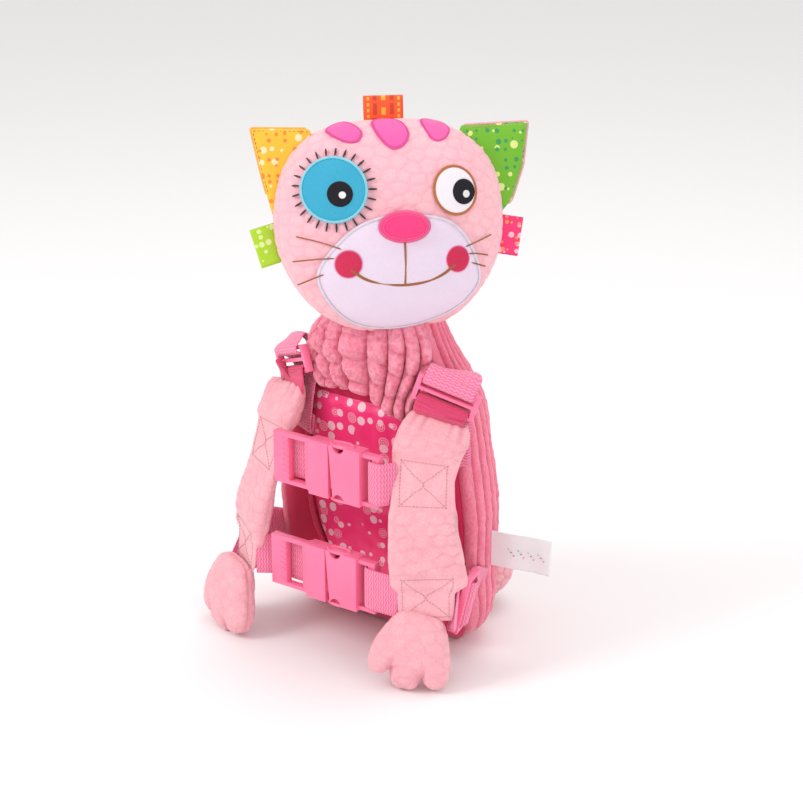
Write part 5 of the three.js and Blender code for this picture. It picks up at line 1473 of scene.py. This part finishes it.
# %% [markdown]
# ## Front panel and piping
# The panel is printed satin, stretched over a thin pad. Satin shines in soft folds, so the surface has
# shallow pulls towards its corners, and the print is dots and rings of mixed sizes.

# %% Printed satin panel
PANEL_LOW, PANEL_TOP, PANEL_HALF = 34, 147, 39
PANEL = {"up": [0, .10, .25, .40, .65, 1], "wide": [.50, .64, .86, .96, 1, .96]}
satin_print = dotted("satin_print", (0.95, 0.038, 0.215), [(0.95, 0.50, 0.62), (0.97, 0.74, 0.81)],
                     size=11.0, radius=0.29, ring=True, roughness=0.3)


def panel_half(z):
    return PANEL_HALF * table_curve(PANEL, "wide", (z - PANEL_LOW) / (PANEL_TOP - PANEL_LOW), "up")


PANEL_ROWS, PANEL_COLUMNS = 120, 90
panel_up, panel_across = np.meshgrid(np.linspace(0, 1, PANEL_ROWS), np.linspace(-1, 1, PANEL_COLUMNS),
                                     indexing="ij")
panel_z = PANEL_LOW + panel_up * (PANEL_TOP - PANEL_LOW)
panel_x = panel_across * panel_half(panel_z)
at_rim = smoothstep(np.maximum(np.abs(panel_across), np.abs(panel_up * 2 - 1)), 0.9, 1.0)
pulls = smooth_noise(np.stack([panel_x * 1.5, panel_z * .55, panel_x * 0], -1), 15, 4)
puckers = smooth_noise(np.stack([panel_x, panel_z, panel_x * 0], -1), 6, 8)
height = 0.5 + 2.4 * (1 - 0.85 * at_rim) + (pulls * 1.3 + puckers * 0.35) * (1 - at_rim)
face_y = bag_side_at(panel_x, panel_z, "front")


def slab_piece(name, finish, x, z, top_y, under_y):
    """A thin upright sheet between two depths, with its UV map flat on x and z."""
    points = np.concatenate([np.stack([x, y, z], -1).reshape(-1, 3) for y in (top_y, under_y)])
    return outward(mesh_piece(name, points, slab_faces(*x.shape), finish, flat=points[:, [0, 2]]))


panel = slab_piece("satin_panel", satin_print, panel_x, panel_z, face_y - height, face_y - 0.4)
dress(panel, "front_panel")
print("panel faces:", len(panel.data.polygons))

# %% Piping round the panel
satin_piping = webbing("satin_piping", (0.86, 0.045, 0.17), row=0.9, yarn=3.0)


def tube(name, points, radius, finish, samples=220, sides=14):
    centre = route(points, samples)
    tangent = unit(np.gradient(centre, axis=0))
    sideways = unit(np.cross(tangent, (0.0, 1.0, 0.0)))
    through = np.cross(tangent, sideways)
    turn = np.linspace(0, math.tau, sides, endpoint=False)
    rings = (centre[:, None] + radius * (sideways[:, None] * np.cos(turn)[None, :, None]
                                         + through[:, None] * np.sin(turn)[None, :, None]))
    points = np.concatenate([rings.reshape(-1, 3), centre[:1], centre[-1:]])
    spots = pairs_of(lengths_along(centre), turn * radius)
    flat = np.concatenate([spots, spots[:1], spots[-1:]])
    return outward(mesh_piece(name, points, tube_faces(samples, sides), finish, flat=flat))


def piping_point(x, z):
    return np.array([x, float(bag_side_at(x, z, "front")) - 2.3, z])


piping_steps = [PANEL_LOW + (PANEL_TOP - PANEL_LOW) * 0.95 * step / 8 for step in range(9)]
piping_route = [piping_point(-float(panel_half(z)) - 3.0, z) for z in piping_steps[::-1]]
piping_route += [piping_point(across * float(panel_half(PANEL_LOW)), PANEL_LOW - 4.5)
                 for across in (-.55, 0, .55)]
piping_route += [piping_point(float(panel_half(z)) + 3.0, z) for z in piping_steps]
dress(tube("satin_piping_cord", piping_route, 1.6, satin_piping), "panel_piping")

# %% [markdown]
# ## Zip, tail and side label
# The back has a closed zip under the neck. Its teeth are the stitch tree again, set across the tape.
# The tail is a small stuffed ball, and the label is a free length of white satin ribbon.

# %% Zip tape, teeth and slider
ZIP_LENGTH, ZIP_HEIGHT = 88, 7
zip_tape = webbing("zip_tape", (0.84, 0.05, 0.19), row=0.8, yarn=0.9)
zip_metal = plastic("zip_metal", (0.88, 0.20, 0.38), (0.80, 0.15, 0.31))
zip_x = np.linspace(-ZIP_LENGTH / 2 + 0.4, ZIP_LENGTH / 2 - 0.4, 90)
zip_across = np.linspace(-1, 1, 17)
X, W = np.meshgrid(zip_x, zip_across, indexing="ij")
Z = zip_z + W * (ZIP_HEIGHT / 2 - 0.3)
tape_y = bag_side_at(X, Z, "back") - 0.5 - 0.5 * np.exp(-(W / 0.25) ** 2)
dress(slab_piece("zip_tape_strip", zip_tape, X, Z, tape_y, tape_y - 1.6), "zip")
tooth_z = np.full_like(zip_x, zip_z)
tooth_path = np.stack([zip_x, bag_side_at(zip_x, tooth_z, "back") - 0.3, tooth_z], -1)
tooth_up = np.tile([0.0, 1.0, 0.0], (len(zip_x), 1))
stitches("zip_teeth", [(tooth_path, tooth_up, False)], zip_metal, 1.3, 3.2, 0.85, across=True)
rounded_copy("zip_pull", "zip_slider", 0.7, zip_metal)

# %% Tail
TAIL_AT, TAIL_SIZE = np.array([32, 43, 22.0]), np.array([20, 19, 17.5])
spots, faces = icosphere(6)
quilt = cobbles(spots * TAIL_SIZE, 8.5, stretch=(1, 1, 1.35), seed=21)
lumps = smooth_noise(spots * TAIL_SIZE, 15, 5)
points = TAIL_AT + spots * (TAIL_SIZE + ((quilt - 1) * 0.9 + lumps * 1.8 - 0.4)[:, None])
points[:, 2] = np.maximum(points[:, 2], 4.6)
wall = bag_side_at(points[:, 0], points[:, 2], "back") + 0.4
points[:, 1] = np.maximum(points[:, 1], wall)
# Painted shade in the quilting grooves.
tail = mesh_piece("stuffed_tail", points, faces, strap_plush, painted_shade=(1 - quilt) * 0.4)
dress(outward(tail), "tail")

# %% Side label
label_satin = dotted("label_satin", (0.86, 0.85, 0.86), [(0.80, 0.80, 0.82)], size=30, radius=0.02,
                     roughness=0.4)
label_root = bag_point(0.31, math.radians(9), -0.4)
label_out = unit(np.array([0.95, 0.24, -0.04]))
label_route = [label_root, label_root + label_out * 12 + (0, -0.7, 0.3),
               label_root + label_out * 24 + (0, 0.4, 0.2), label_root + label_out * 36]
label, _ = webbing_piece("white_side_label", "side_label", label_route, np.array([0.1, 0.0, 1.0]), 22, 0.8,
                         label_satin, 60)
label_normal = unit(np.cross(unit(np.array([0.1, 0.0, 1.0])), label_out))
label_normal = label_normal * -np.sign(label_normal[1])
dot_threads = (("blue", blue_thread), ("orange", orange_thread), ("pink", pink_thread))
for number, (name, colour) in enumerate(dot_threads):
    starts = np.array([11.0, 29.0]) + number * 1.6
    line = label_root + label_out * np.linspace(*starts, 20)[:, None] + label_normal * 1.1
    line = line + (0, -0.25, 1.8 - number * 1.8)
    stitches("label_dots_" + name, [(line, np.tile(label_normal, (20, 1)), False)], colour, 5.0, 1.3, 0.7)

# %% [markdown]
# ## Finish
# The view uses the plain display transform, so that the strong pinks keep their strength.

# %% Display and the end of the scene
bpy.context.scene.view_settings.view_transform = "Standard"
